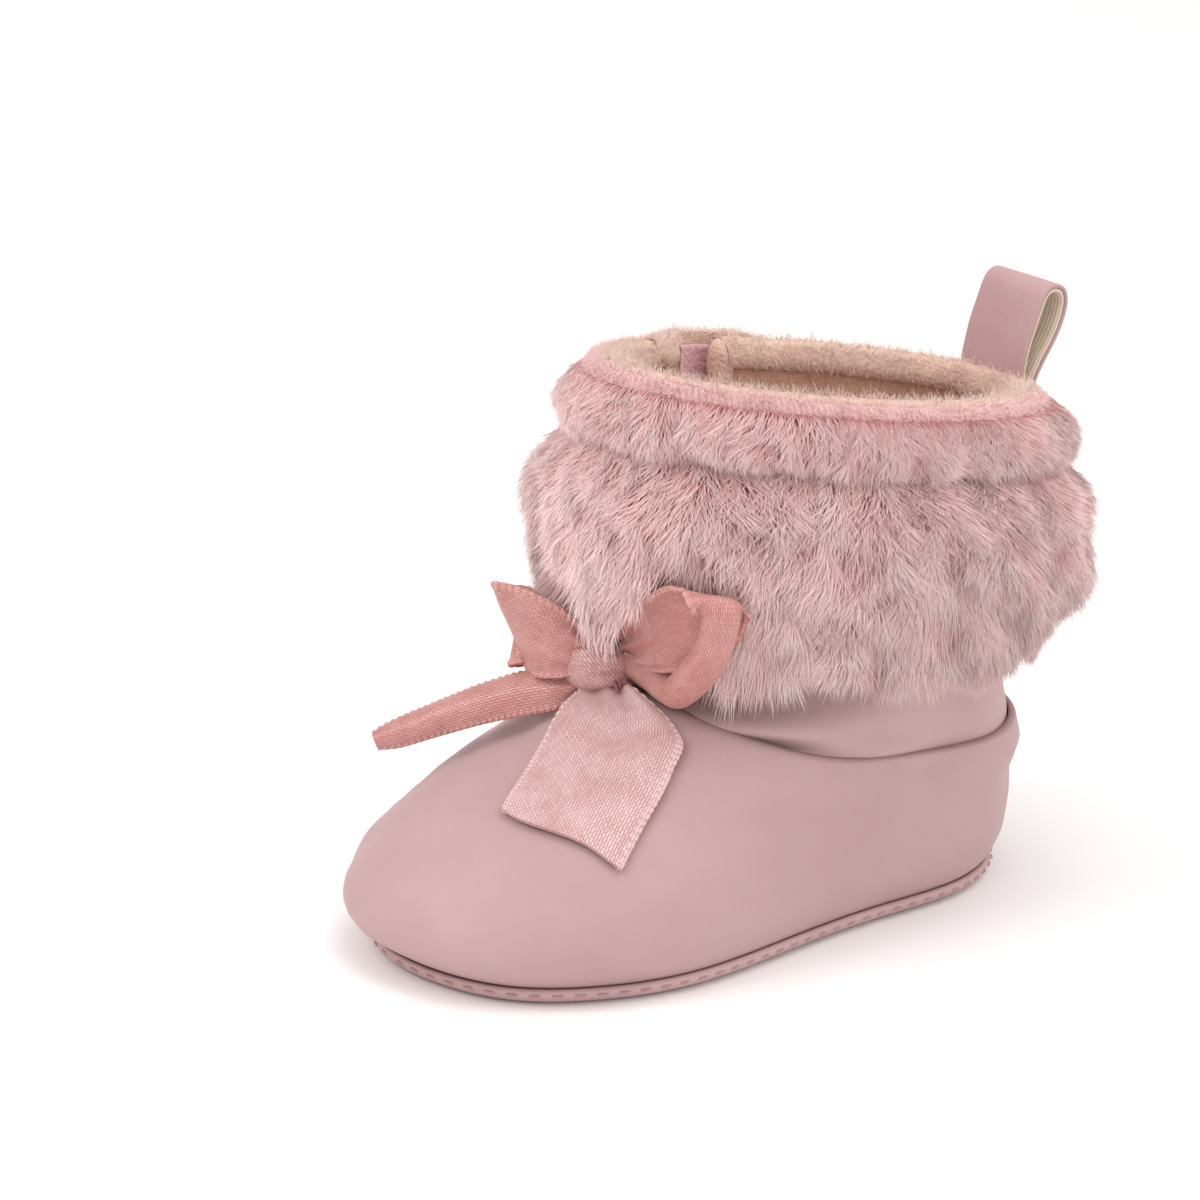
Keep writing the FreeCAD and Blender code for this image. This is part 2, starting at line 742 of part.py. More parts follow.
# ---- build --------------------------------------------------------------------------------------------------
def main():
    os.makedirs("parts", exist_ok=True)
    upper, quarter = split_foot_shell(make_foot_shell())
    parts = {
        "outsole": make_outsole(),
        "sole_foam": make_sole_foam(),
        "footbed": make_footbed(),
        "foot_upper": upper,
        "lateral_quarter": quarter,
        "foot_lining": make_foot_lining(),
        "shaft_panel": make_shaft_panel(),
        "shaft_lining": make_shaft_lining(),
        "rim_facing": make_rim_facing(),
        "flap_panel": make_flap_panel(),
        "flap_lining": make_flap_lining(),
        "flap_facing": make_flap_facing(),
        "loop_tape": make_loop_tape(),
        "hook_tape": make_hook_tape(),
        "fur_cuff": make_fixed_fur(CUFF_PILE),
        "fur_rim_roll": make_fixed_fur(ROLL_PILE),
        "flap_fur_cuff": make_flap_fur(CUFF_PILE),
        "flap_fur_roll": make_flap_fur(ROLL_PILE),
        "pull_tab_strap": tab_ply(0.0, TAB_STRAP),
        "pull_tab_root": make_tab_root(),
        "pull_tab_tape": tab_ply(TAB_STRAP + 0.05, TAB_STRAP + 0.05 + TAB_TAPE),
        "bow_knot": make_knot(),
        "bow_loop_right": loop_band(*LOOP_RIGHT, LOOP_RIGHT_OUT, LOOP_DEPTH, LOOP_WIDTH),
        "bow_loop_left": loop_band(*LOOP_LEFT, LOOP_LEFT_OUT, LOOP_DEPTH, LOOP_WIDTH),
        "bow_tail_front": make_tail_front(),
        "bow_tail_left": make_tail_left(),
        "bow_tack_thread": make_tack_thread(),
        "sole_stitches": make_sole_stitches(),
        "quarter_seam_stitches": seam_stitches(side_seam_point, topline_z(QUARTER_Y) - 1.4),
        "heel_seam_stitches": seam_stitches(heel_seam_point, topline_z(60.0) - 1.4),
        "topline_stitches": make_topline_stitches(),
        "cuff_groove_stitches": make_groove_stitches(),
        "facing_stitches": make_facing_stitches(),
    }
    for name, shape in parts.items():
        save(name, shape)
    print("flap's fold line passes through", hinge_point())


main()
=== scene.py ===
import math
import bpy
import numpy as np
from mathutils import Matrix, Vector, kdtree
from mathutils.bvhtree import BVHTree


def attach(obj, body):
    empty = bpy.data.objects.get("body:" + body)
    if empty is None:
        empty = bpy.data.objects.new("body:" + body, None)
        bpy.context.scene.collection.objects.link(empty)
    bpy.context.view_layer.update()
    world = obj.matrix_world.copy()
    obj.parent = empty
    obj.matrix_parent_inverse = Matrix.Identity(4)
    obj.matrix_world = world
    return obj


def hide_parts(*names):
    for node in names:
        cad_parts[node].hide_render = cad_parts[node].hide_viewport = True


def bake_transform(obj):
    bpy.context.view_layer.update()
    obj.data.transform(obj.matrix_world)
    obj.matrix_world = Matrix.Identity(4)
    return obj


# Looks of a soft baby bootie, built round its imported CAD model. Lengths here are millimetres until a mesh is
# made. Toe towards -Y, heel towards +Y, inner side +X, outer side with the flap -X.

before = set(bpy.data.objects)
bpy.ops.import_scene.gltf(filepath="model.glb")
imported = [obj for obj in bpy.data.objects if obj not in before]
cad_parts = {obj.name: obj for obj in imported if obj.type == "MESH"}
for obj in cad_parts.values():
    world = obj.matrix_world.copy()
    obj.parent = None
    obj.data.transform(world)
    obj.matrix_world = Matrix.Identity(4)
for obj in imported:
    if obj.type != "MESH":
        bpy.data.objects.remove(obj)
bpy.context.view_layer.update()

MM = 0.001

# ---- the CAD model's own dimensions ----
LEATHER = 1.2
LINING = 1.15
PLY_GAP = 0.1
SOLE_TOP = 2.9
FOOTBED_LOW = 3.0
FOOTBED_TOP = 4.9

# The last in plan: share of its length from the toe, half width of its inner side and of its outer side.
LAST_PLAN = np.array((
    (0.045, 20.0, 12.5),
    (0.155, 28.8, 22.6),
    (0.310, 31.4, 27.0),
    (0.500, 27.2, 25.8),
    (0.680, 23.2, 23.4),
    (0.840, 20.4, 20.8),
    (0.955, 12.0, 12.4),
))
TOE_TIP_X = 3.0
# The last at heights: z, y of the toe, y of the heel, scale of the width there and there, how far it is an
# ellipse, half width of that ellipse.
LAST_FORM = (
    (-1.0, -58.4, 58.5, 1.00, 1.00, 0.0, 23.0),
    (3.0, -58.6, 58.7, 1.00, 1.00, 0.0, 23.0),
    (8.0, -63.2, 60.2, 1.05, 1.06, 0.0, 23.0),
    (14.0, -60.8, 60.4, 1.03, 1.09, 0.0, 23.0),
    (20.0, -53.2, 59.8, 0.97, 1.10, 0.0, 23.0),
    (25.0, -44.8, 59.0, 0.91, 1.10, 0.1, 23.0),
    (30.0, -34.8, 58.0, 0.87, 1.10, 0.3, 23.2),
    (35.0, -25.2, 57.2, 0.84, 1.08, 0.6, 23.2),
    (39.0, -18.6, 57.2, 0.82, 1.06, 0.85, 23.2),
    (42.5, -13.6, 57.4, 0.82, 1.04, 1.0, 23.0),
    (48.0, -12.6, 58.0, 0.82, 1.04, 1.0, 23.0),
    (60.0, -14.4, 59.6, 0.82, 1.04, 1.0, 23.2),
    (76.0, -16.8, 61.0, 0.82, 1.04, 1.0, 23.6),
    (102.0, -20.0, 62.6, 0.82, 1.04, 1.0, 23.8),
)
# The foot upper's top edge: y, z.
TOPLINE = ((-26.0, 46.5), (-17.0, 42.0), (-7.5, 36.8), (11.0, 31.4), (40.0, 28.6), (70.0, 29.4))
TUCK = 4.0
PUFF = 1.45
RIM_Z = 87.0
RIM_Y = 21.8
TILT = 0.13
# Thickness of the fur: z, thickness.
CUFF_PILE = ((43.0, 6.0), (47.5, 9.0), (56.0, 11.2), (66.0, 11.6), (73.0, 9.8), (77.2, 4.6))
ROLL_PILE = ((77.8, 4.4), (80.5, 7.0), (84.0, 6.4), (86.6, 3.2))
FUR_BASE = 2 * PLY_GAP + LEATHER
FLAP_START_Y = 0.0
SLIT_END_Y = 17.0
SLIT_BOTTOM = 36.0
FLAP_END_Y = 32.0
FLAP_LIFT = 4.6
FLAP_CORNER = 9.0
CORNER_START_Y = FLAP_END_Y + 1.4 - FLAP_CORNER
QUARTER_Y = 12.0

TAB_WIDTH = 15.0
TAB_PLY = 0.7

# The bow faces forwards and to the inner side. Its own axes are right, up and out, from the knot's middle.
KNOT = np.array((1.0, -21.0, 46.2))
BOW_AXES = np.array(((0.577, 0.816, 0.044), (-0.266, 0.137, 0.954), (0.772, -0.562, 0.296)))


# ---- small helpers ----
def smooth(rows, at, column):
    """Cubic through the rows of a table: the column's value at places given in the rows' first column."""
    table = np.array(rows, float)
    x, y = table[:, 0], table[:, column]
    slope = np.empty(len(x))
    slope[1:-1] = (y[2:] - y[:-2]) / (x[2:] - x[:-2])
    slope[0] = (y[1] - y[0]) / (x[1] - x[0])
    slope[-1] = (y[-1] - y[-2]) / (x[-1] - x[-2])
    at = np.asarray(at, float)
    i = np.clip(np.searchsorted(x, at) - 1, 0, len(x) - 2)
    span = x[i + 1] - x[i]
    t = np.clip((at - x[i]) / span, 0, 1)
    return ((2 * t**3 - 3 * t**2 + 1) * y[i] + (t**3 - 2 * t**2 + t) * slope[i] * span
            + (3 * t**2 - 2 * t**3) * y[i + 1] + (t**3 - t**2) * slope[i + 1] * span)


def ease(low, high, at):
    """0 below low, 1 above high, smooth between."""
    t = np.clip((np.asarray(at, float) - low) / (high - low), 0, 1)
    return t * t * (3 - 2 * t)


def unit(v):
    return v / np.maximum(np.linalg.norm(v, axis=-1, keepdims=True), 1e-9)


def way_along(line):
    """Distance from the start of a line to each of its points."""
    return np.concatenate([[0], np.cumsum(np.linalg.norm(np.diff(line, axis=0), axis=-1))])


def waves(points, pitch, seed):
    """Soft random field about -1 to 1, whose bumps are about one pitch apart."""
    draw = np.random.default_rng(seed)
    total = np.zeros(points.shape[:-1])
    for _ in range(7):
        direction = unit(draw.normal(size=3)) * draw.uniform(0.7, 1.5) / pitch
        total += np.sin(2 * math.pi * (points @ direction) + draw.uniform(0, 6.28))
    return total / 3.2


def spline(points, count, closed=False):
    """Catmull-Rom curve through points of any width, as count evenly spread samples."""
    p = np.array(points, float)
    if closed:
        p = np.vstack([p[-1:], p, p[:2]])
    else:
        p = np.vstack([2 * p[0] - p[1], p, 2 * p[-1] - p[-2]])
    spans = len(p) - 3
    s = np.linspace(0, spans, count, endpoint=not closed)
    i = np.minimum(s.astype(int), spans - 1)
    t = (s - i)[:, None]
    a, b, c, d = p[i], p[i + 1], p[i + 2], p[i + 3]
    return 0.5 * (2 * b + (c - a) * t + (2 * a - 5 * b + 4 * c - d) * t**2 + (3 * b - a - 3 * c + d) * t**3)


# ---- the last: the surface between the lining and the outer skin ----
TURN = 2 * len(LAST_PLAN) + 2
_cyclic = 4 * np.eye(TURN) + np.roll(np.eye(TURN), 1, 0) + np.roll(np.eye(TURN), -1, 0)
SPLINE = np.linalg.inv(_cyclic)


def last_at(u, z):
    """Points of the last in plan at parameters u and heights z, and the tangents there."""
    toe, heel, fore, rear, share, half = (smooth(LAST_FORM, z, c)[:, None] for c in range(1, 7))
    t = LAST_PLAN[:, 0][None]
    flat_y = toe + t * (heel - toe)
    foot = fore * (1 - t) + rear * t
    ellipse = half * np.sqrt(1 - (2 * t - 1) ** 2)
    medial = LAST_PLAN[:, 1][None] * foot * (1 - share) + ellipse * share
    lateral = -(LAST_PLAN[:, 2][None] * foot * (1 - share) + ellipse * share)
    x = np.hstack([TOE_TIP_X * (1 - share), medial, np.zeros_like(toe), lateral[:, ::-1]])
    y = np.hstack([toe, flat_y, heel, flat_y[:, ::-1]])
    p = np.stack([x, y], -1)
    m = np.einsum("ij,njk->nik", SPLINE, 3 * (np.roll(p, -1, 1) - np.roll(p, 1, 1)))
    whole = np.floor(u)
    f = (u - whole)[:, None]
    i = whole.astype(int) % TURN
    j = (i + 1) % TURN
    row = np.arange(len(u))
    a, b, ma, mb = p[row, i], p[row, j], m[row, i], m[row, j]
    point = ((2 * f**3 - 3 * f**2 + 1) * a + (f**3 - 2 * f**2 + f) * ma
             + (3 * f**2 - 2 * f**3) * b + (f**3 - f**2) * mb)
    along = (6 * f**2 - 6 * f) * (a - b) + (3 * f**2 - 4 * f + 1) * ma + (3 * f**2 - 2 * f) * mb
    return point, unit(along)


def on_last(u, z, offset):
    """Points at parameters u and heights z, moved out by offset measured square to the last's surface."""
    u, z, offset = (np.asarray(a, float) for a in np.broadcast_arrays(u, z, offset))
    shape = u.shape
    u, z, offset = u.ravel(), z.ravel(), offset.ravel()
    point, along = last_at(u, z)
    out = np.stack([along[:, 1], -along[:, 0]], -1)
    lean = ((last_at(u, z + 0.5)[0] - last_at(u, z - 0.5)[0]) * out).sum(-1)
    moved = point + out * (offset * np.sqrt(1 + lean**2))[:, None]
    return np.column_stack([moved, z]).reshape(shape + (3,))


def tilted(u, z, offset):
    """Points on planes parallel to the rim: z is the plane's height at the middle of the boot."""
    u, z, offset = np.broadcast_arrays(np.asarray(u, float), z, offset)
    height = z
    for _ in range(2):
        height = z - TILT * (on_last(u, height, offset)[..., 1] - RIM_Y)
    p = on_last(u, height, offset)
    p[..., 2] = z - TILT * (p[..., 1] - RIM_Y)
    return p


def side_u(y, z, level=False):
    """Parameter of the outer side at y, on the tilted plane at z, or on the level one."""
    y, z = (np.asarray(a, float) for a in np.broadcast_arrays(y, z))
    height = (z if level else z - TILT * (y - RIM_Y)).ravel()
    low, high = np.full(y.size, TURN / 2), np.full(y.size, float(TURN))
    for _ in range(22):
        middle = (low + high) / 2
        further = last_at(middle, height)[0][:, 1] > y.ravel()
        low, high = np.where(further, middle, low), np.where(further, high, middle)
    return ((low + high) / 2).reshape(y.shape)


def topline_z(y):
    return smooth(TOPLINE, np.clip(y, TOPLINE[0][0], TOPLINE[-1][0]), 1)


def lift(y):
    """How far the flap stands out from the last."""
    return FLAP_LIFT * ease(FLAP_START_Y, SLIT_END_Y - 2.0, y)


def corner_drop(y, z):
    """How far the flap's rim comes down towards its free edge, where its top corner is round."""
    reach = np.clip(y - CORNER_START_Y, 0, FLAP_CORNER)
    return (FLAP_CORNER - np.sqrt(FLAP_CORNER**2 - reach**2)) * ease(66.0, RIM_Z, z)


# ---- meshes ----
def put_in_scene(name, data):
    made = bpy.data.objects.new(name, data)
    bpy.context.scene.collection.objects.link(made)
    return made


def add_piece(name, body, slot, material, points, faces, replaces=(), flats=None):
    """A smooth mesh piece from points in millimetres. flats are its point attributes by name."""
    mesh = bpy.data.meshes.new(name)
    mesh.from_pydata((np.asarray(points).reshape(-1, 3) * MM).tolist(), [], faces)
    mesh.validate()
    mesh.shade_smooth()
    for key, values in (flats or {}).items():
        flat = mesh.attributes.new(key, "FLOAT", "POINT")
        flat.data.foreach_set("value", np.asarray(values, np.float32).ravel())
    return finish_piece(name, mesh, body, slot, material, replaces)


def finish_piece(name, mesh, body, slot, material, replaces=()):
    """Puts a mesh in the scene. It rides the body, if one is given."""
    piece = put_in_scene(name, mesh)
    mesh.materials.append(material)
    if body:
        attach(piece, body)
    if replaces:
        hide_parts(*replaces)
    return piece


def grid_faces(rows, columns, closed_rows=True, start=0):
    """Faces of a grid of points, of which either the rows or the columns are closed rings."""
    faces = []
    for i in range(rows - 1 if closed_rows else rows):
        a, b = start + i * columns, start + (i + 1) % rows * columns
        for c in range(columns if closed_rows else columns - 1):
            d = (c + 1) % columns
            faces.append((a + c, a + d, b + d, b + c))
    return faces


def tube_faces(rows, columns, start=0):
    """Closed tube whose rows are rings, with a cap on its first and on its last ring."""
    first, last = start, start + (rows - 1) * columns
    caps = [tuple(range(first, first + columns))[::-1], tuple(range(last, last + columns))]
    return grid_faces(rows, columns, start=start) + caps


def band_faces(rows, columns):
    """Closed band whose columns are rings, with a cap on its first and on its last ring."""
    first, last = range(0, rows * columns, columns), range(columns - 1, rows * columns, columns)
    return grid_faces(rows, columns, closed_rows=False) + [tuple(first)[::-1], tuple(last)]


def turned(faces):
    """The same faces, looking the other way."""
    return [face[::-1] for face in faces]


def slab(grid, thickness):
    """Closed cloth of some thickness about a grid of points, its long edges bevelled: points and faces."""
    rows, columns = grid.shape[:2]
    n = unit(np.cross(np.gradient(grid, axis=0), np.gradient(grid, axis=1)))
    half = np.broadcast_to(np.asarray(thickness, float) / 2, (rows, columns))[..., None]
    top, under = grid + n * half, grid - n * half
    edge_a = grid[:, 0] - unit(grid[:, 1] - grid[:, 0]) * half[:, 0]
    edge_b = grid[:, -1] + unit(grid[:, -1] - grid[:, -2]) * half[:, -1]
    ring = np.concatenate([edge_a[:, None], top, edge_b[:, None], under[:, ::-1]], 1)
    size = ring.shape[1]
    faces = grid_faces(rows, size)
    for row, order in ((0, 1), (rows - 1, -1)):
        base = row * size
        tops = [base + 1 + j for j in range(columns)]
        unders = [base + size - 1 - j for j in range(columns)]
        ends = [(base, tops[0], unders[0]), (base + columns + 1, unders[-1], tops[-1])]
        ends += [(tops[j], tops[j + 1], unders[j + 1], unders[j]) for j in range(columns - 1)]
        faces += [f[::order] for f in ends]
    return ring.reshape(-1, 3), faces


def slab_flats(**fields):
    """Point attributes that match slab(), from values on its grid."""
    return {key: np.concatenate([values[:, :1], values, values[:, -1:], values[:, ::-1]], 1)
            for key, values in fields.items()}


def cloth_lengths(grid):
    """Distances along and across a grid, measured on it."""
    step_along = np.linalg.norm(np.diff(grid, axis=0), axis=-1).mean(1)
    along = np.concatenate([[0], np.cumsum(step_along)])[:, None] + np.zeros(grid.shape[1])
    step_across = np.linalg.norm(np.diff(grid, axis=1), axis=-1)
    across = np.concatenate([np.zeros((grid.shape[0], 1)), np.cumsum(step_across, 1)], 1)
    return along, across


# ---- materials ----
def tint(*display):
    """Linear colour from 0-255 display values."""
    shares = [c / 255 for c in display]
    return tuple(c / 12.92 if c <= 0.04 else ((c + 0.055) / 1.055) ** 2.4 for c in shares) + (1.0,)


class Look:
    """A procedural material. Texture coordinates are metres in the boot's frame."""

    def __init__(self, name, rough, specular, sheen=0.0, sheen_rough=0.5, sheen_tint=None):
        self.material = bpy.data.materials.new(name)
        self.material.use_nodes = True
        self.tree = self.material.node_tree
        self.shader = self.tree.nodes["Principled BSDF"]
        settings = {"Roughness": rough, "Specular IOR Level": specular, "Sheen Weight": sheen,
                    "Sheen Roughness": sheen_rough}
        if sheen_tint:
            settings["Sheen Tint"] = sheen_tint
        for socket, value in settings.items():
            self.shader.inputs[socket].default_value = value
        self.place = self.node("ShaderNodeTexCoord").outputs["Object"]

    def node(self, kind, inputs=None, **settings):
        made = self.tree.nodes.new(kind)
        for key, value in settings.items():
            setattr(made, key, value)
        for key, value in (inputs or {}).items():
            if isinstance(value, bpy.types.NodeSocket):
                self.tree.links.new(value, made.inputs[key])
            else:
                made.inputs[key].default_value = value
        return made

    def noise(self, pitch, detail=3.0, rough=0.5, stretch=None):
        """Noise whose features are about one pitch across, in millimetres."""
        place = self.place
        if stretch:
            place = self.node("ShaderNodeMapping", {"Vector": place, "Scale": stretch}).outputs[0]
        inputs = {"Vector": place, "Scale": 1 / (pitch * MM), "Detail": detail, "Roughness": rough}
        return self.node("ShaderNodeTexNoise", inputs).outputs["Fac"]

    def cells(self, pitch):
        inputs = {"Vector": self.place, "Scale": 1 / (pitch * MM)}
        return self.node("ShaderNodeTexVoronoi", inputs, feature="F1").outputs["Distance"]

    def bands(self, pitch, distortion, direction):
        inputs = {"Vector": self.place, "Scale": 1 / (pitch * MM), "Distortion": distortion}
        return self.node("ShaderNodeTexWave", inputs, bands_direction=direction).outputs["Fac"]

    def flat(self, name):
        """A point attribute of the mesh."""
        return self.node("ShaderNodeAttribute", attribute_name=name).outputs["Fac"]

    def math(self, operation, a, b, c=0.0):
        return self.node("ShaderNodeMath", {0: a, 1: b, 2: c}, operation=operation).outputs[0]

    def total(self, *parts):
        """Sum of fields, each with its weight."""
        terms = [field if weight == 1 else self.math("MULTIPLY", field, weight) for field, weight in parts]
        result = terms[0]
        for term in terms[1:]:
            result = self.math("ADD", result, term)
        return result

    def colour(self, factor, *stops):
        made = self.node("ShaderNodeValToRGB", {"Fac": factor})
        ramp = made.color_ramp
        while len(ramp.elements) < len(stops):
            ramp.elements.new(0.5)
        for element, (place, colour) in zip(ramp.elements, stops):
            element.position = place
            element.color = colour
        self.tree.links.new(made.outputs["Color"], self.shader.inputs["Base Color"])

    def roughness(self, factor, low, high):
        spread = self.node("ShaderNodeMapRange", {"Value": factor, "To Min": low, "To Max": high})
        self.tree.links.new(spread.outputs[0], self.shader.inputs["Roughness"])

    def bump(self, height, depth, strength):
        """Relief of this depth in millimetres."""
        made = self.node("ShaderNodeBump", {"Height": height, "Distance": depth * MM, "Strength": strength})
        self.tree.links.new(made.outputs[0], self.shader.inputs["Normal"])


def leather_look(name, light, dark, grain=1.0):
    look = Look(name, 0.55, specular=0.32, sheen=0.12, sheen_rough=0.45, sheen_tint=tint(240, 205, 203))
    fine = look.noise(0.9, 4.0, 0.6)
    look.colour(look.total((look.noise(22.0, 2.0), 0.8), (fine, 0.2)), (0.32, dark), (0.68, light))
    look.roughness(fine, 0.47, 0.63)
    pebble = look.math("SMOOTH_MIN", look.cells(0.62), 0.42, 0.2)
    look.bump(look.total((pebble, 1), (look.noise(0.35), 0.8)), 0.05 * grain, 0.55)
    return look.material


def fibre_look(name, rough, *stops, **shine):
    """Fibres, coloured from root to tip by the attribute tone."""
    look = Look(name, rough, **shine)
    look.colour(look.flat("tone"), *stops)
    return look.material


def undercoat_look():
    look = Look("fur_undercoat", 0.8, specular=0.1, sheen=0.3)
    streak = look.noise(0.8, 5.0, 0.7, stretch=(1.0, 1.0, 0.25))
    look.colour(streak, (0.3, tint(229, 160, 155)), (0.7, tint(243, 190, 185)))
    look.bump(streak, 0.5, 0.8)
    return look.material


def edge_look():
    """The pile's cropped edge at the rim, in fine upright ribs."""
    look = Look("rim_short_pile", 0.78, specular=0.15, sheen=0.35, sheen_tint=tint(250, 225, 222))
    nap = look.noise(0.5, 5.0, 0.75)
    both = look.total((look.flat("rib"), 0.22), (nap, 0.78))
    look.colour(both, (0.2, tint(206, 156, 153)), (0.75, tint(229, 193, 191)))
    look.bump(nap, 0.3, 0.7)
    return look.material


def knit_look(name, light, dark):
    """Brushed knit: fine loops under a soft nap."""
    look = Look(name, 0.86, specular=0.12, sheen=0.35, sheen_rough=0.6, sheen_tint=tint(245, 225, 208))
    nap = look.noise(0.45, 5.0, 0.75)
    look.colour(look.total((nap, 0.6), (look.noise(6.0, 2.0), 0.4)), (0.36, dark), (0.62, light))
    look.bump(look.total((look.cells(0.75), -0.8), (nap, 1)), 0.35, 0.8)
    return look.material


def satin_look(name, light, dark):
    """Satin ribbon: a fine weave of long floats, laid out by the ribbon's own length and width."""
    look = Look(name, 0.36, specular=0.62, sheen=0.25, sheen_rough=0.3, sheen_tint=tint(255, 214, 206))
    place = look.node("ShaderNodeCombineXYZ", {"X": look.flat("along"), "Y": look.flat("across")}).outputs[0]
    floats = {"Vector": place, "Color1": (1, 1, 1, 1), "Color2": (0.62, 0.62, 0.62, 1),
              "Mortar": (0, 0, 0, 1), "Scale": 1.0, "Mortar Size": 0.07, "Mortar Smooth": 0.9,
              "Brick Width": 1.05, "Row Height": 0.42}
    weave = look.node("ShaderNodeTexBrick", floats, offset=0.5, offset_frequency=2).outputs["Color"]
    # bead also lightens the colour along the ribbon's beaded edges, a painted highlight on the edge loops.
    value = look.total((look.noise(5.0, 2.0), 0.45), (weave, 0.45), (look.flat("bead"), 0.5))
    look.colour(value, (0.3, dark), (0.72, light))
    look.roughness(weave, 0.5, 0.27)
    look.bump(weave, 0.09, 0.9)
    return look.material


def thread_look(name, light, dark):
    look = Look(name, 0.6, specular=0.3, sheen=0.2)
    twist = look.bands(0.9, 2.0, "DIAGONAL")
    look.colour(twist, (0.2, dark), (0.8, light))
    look.bump(twist, 0.05, 0.6)
    return look.material


def tape_look(name, light, dark):
    """Ribbed woven tape."""
    look = Look(name, 0.8, specular=0.2, sheen=0.2)
    both = look.total((look.bands(2.56, 0.4, "X"), 0.55), (look.noise(0.4, 4.0, 0.7), 0.45))
    look.colour(both, (0.3, dark), (0.7, light))
    look.bump(both, 0.14, 0.8)
    return look.material


def fuzzy_look(name, light, dark):
    """Hook or loop patch."""
    look = Look(name, 0.8, specular=0.2, sheen=0.4)
    nap = look.noise(0.5, 5.0, 0.8)
    look.colour(nap, (0.35, dark), (0.65, light))
    look.bump(look.total((nap, 1), (look.cells(0.7), 1)), 0.4, 0.9)
    return look.material


def plain_look(name, rough, specular, pitch, detail, *stops):
    """Softly mottled, without relief."""
    look = Look(name, rough, specular)
    look.colour(look.noise(pitch, detail), *stops)
    return look.material


# One pink leather in two copies: the foot's is painted darker against the top light on the vamp, and the
# shaft's and the flap's are painted lighter against the shade of the fur over them.
FOOT_LEATHER_DIMMED_LOOK = leather_look("leather_pink", tint(185, 153, 154), tint(178, 145, 146))
SHAFT_LEATHER_LIFTED_LOOK = leather_look("leather_shaft_lifted", tint(199, 166, 167), tint(191, 157, 158))
SOLE_LOOK = leather_look("leather_sole", tint(192, 161, 160), tint(184, 152, 151), 0.8)
FUR_LOOK = fibre_look("fur_fibres", 0.8, (0.0, tint(229, 146, 141)), (0.35, tint(248, 193, 189)),
                      (0.7, tint(254, 222, 219)), (1.0, tint(255, 238, 236)), specular=0.10, sheen=0.28,
                      sheen_rough=0.4, sheen_tint=tint(255, 208, 203))
UNDER_LOOK = undercoat_look()
EDGE_LOOK = edge_look()
KNIT_LOOK = knit_look("lining_knit", tint(230, 190, 168), tint(202, 154, 131))
FACING_LOOK = knit_look("facing_knit", tint(238, 206, 190), tint(218, 180, 161))
NAP_LOOK = fibre_look("facing_nap", 0.75, (0.0, tint(224, 188, 170)), (1.0, tint(246, 220, 207)),
                      specular=0.15, sheen=0.2)
# One satin ribbon in three copies: the front tail's is painted lighter, as painted highlight where it lies
# open to the light; the rolled loops' and left tail's and the knot's are painted darker, as painted shade in
# their rolls and folds.
SATIN_LIT_LOOK = satin_look("satin_ribbon", tint(221, 189, 188), tint(184, 132, 128))
SATIN_SHADED_LOOK = satin_look("satin_loops_shaded", tint(212, 154, 148), tint(172, 104, 97))
SATIN_KNOT_SHADED_LOOK = satin_look("satin_knot_shaded", tint(212, 168, 164), tint(172, 112, 108))
TAB_LOOK = leather_look("tab_strap", tint(190, 155, 156), tint(181, 145, 146), 1.6)
TAB_TAPE_LOOK = tape_look("tab_tape", tint(236, 224, 208), tint(206, 190, 172))
ROSE_THREAD = thread_look("thread_rose", tint(150, 100, 102), tint(112, 66, 70))
GROOVE_THREAD = thread_look("thread_groove", tint(214, 164, 162), tint(196, 138, 136))
BEIGE_THREAD = thread_look("thread_beige", tint(212, 182, 158), tint(170, 134, 110))
PINK_THREAD = thread_look("thread_pink", tint(190, 149, 150), tint(160, 119, 121))
HOOK_LOOK = fuzzy_look("closure_patch", tint(255, 212, 218), tint(255, 190, 198))
FOAM_LOOK = plain_look("sole_foam", 0.9, 0.1, 0.8, 4.0, (0.3, tint(232, 228, 220)),
                       (0.7, tint(246, 243, 238)))


def recolour(node, material):
    """Gives a CAD node that stays visible a finished material."""
    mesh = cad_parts[node].data
    mesh.materials.clear()
    mesh.materials.append(material)
    mesh.shade_smooth()


# ---- sole and foot ----
AROUND = 288
RING = np.arange(AROUND) * TURN / AROUND
SKIN = PLY_GAP + LEATHER
SPINE_X = 1.5
SPINE_ENDS = (-32, 36)
TOP_ROUND = 0.6         # how far down the upper's top edge is rounded
SEAM_GAP = 0.004        # half the gap between the upper's two parts at a seam, as a parameter


def spine_of(ring):
    """The foot's middle line, at the points that lie square across from a ring's."""
    return np.column_stack([np.full(AROUND, SPINE_X), np.clip(ring[:, 1], *SPINE_ENDS), np.zeros(AROUND)])


def make_outsole():
    """Sole skin: a soft pillowed underside, turned up to the seam."""
    rows = []
    spine = spine_of(on_last(RING, 0.0, -6.0))
    rim = on_last(RING, 0.0, SKIN - 3.6)
    for share in np.linspace(0.02, 1.0, 16) ** 0.8:
        ring = spine + (rim - spine) * share
        ring[:, 2] = 0.28 * np.clip((1 - share) * 4, 0, 1) + 0.05 * waves(ring, 14.0, 3) * (share < 0.97)
        rows.append(np.maximum(ring, np.array((-99, -99, 0.0))))
    # Up the outside, over the edge and down inside: z, and the distance out from the last.
    for z, offset in ((0.12, SKIN - 2.6), (0.4, SKIN - 1.6), (0.85, SKIN - 0.75), (1.4, SKIN - 0.22),
                      (1.95, SKIN - 0.02), (2.4, SKIN - 0.1), (2.75, SKIN - 0.5), (2.85, SKIN - 1.1),
                      (2.3, -0.1), (1.9, -0.7), (1.2, -2.4)):
        rows.append(on_last(RING, z, offset))
    inner = rows[-1]
    for share in (0.6, 0.02):
        rows.append(spine + (inner - spine) * share)
        rows[-1][:, 2] = 1.2
    faces = turned(tube_faces(len(rows), AROUND))
    add_piece("sole_skin", "boot", "leather_pink", SOLE_LOOK, np.array(rows), faces, ["outsole"])


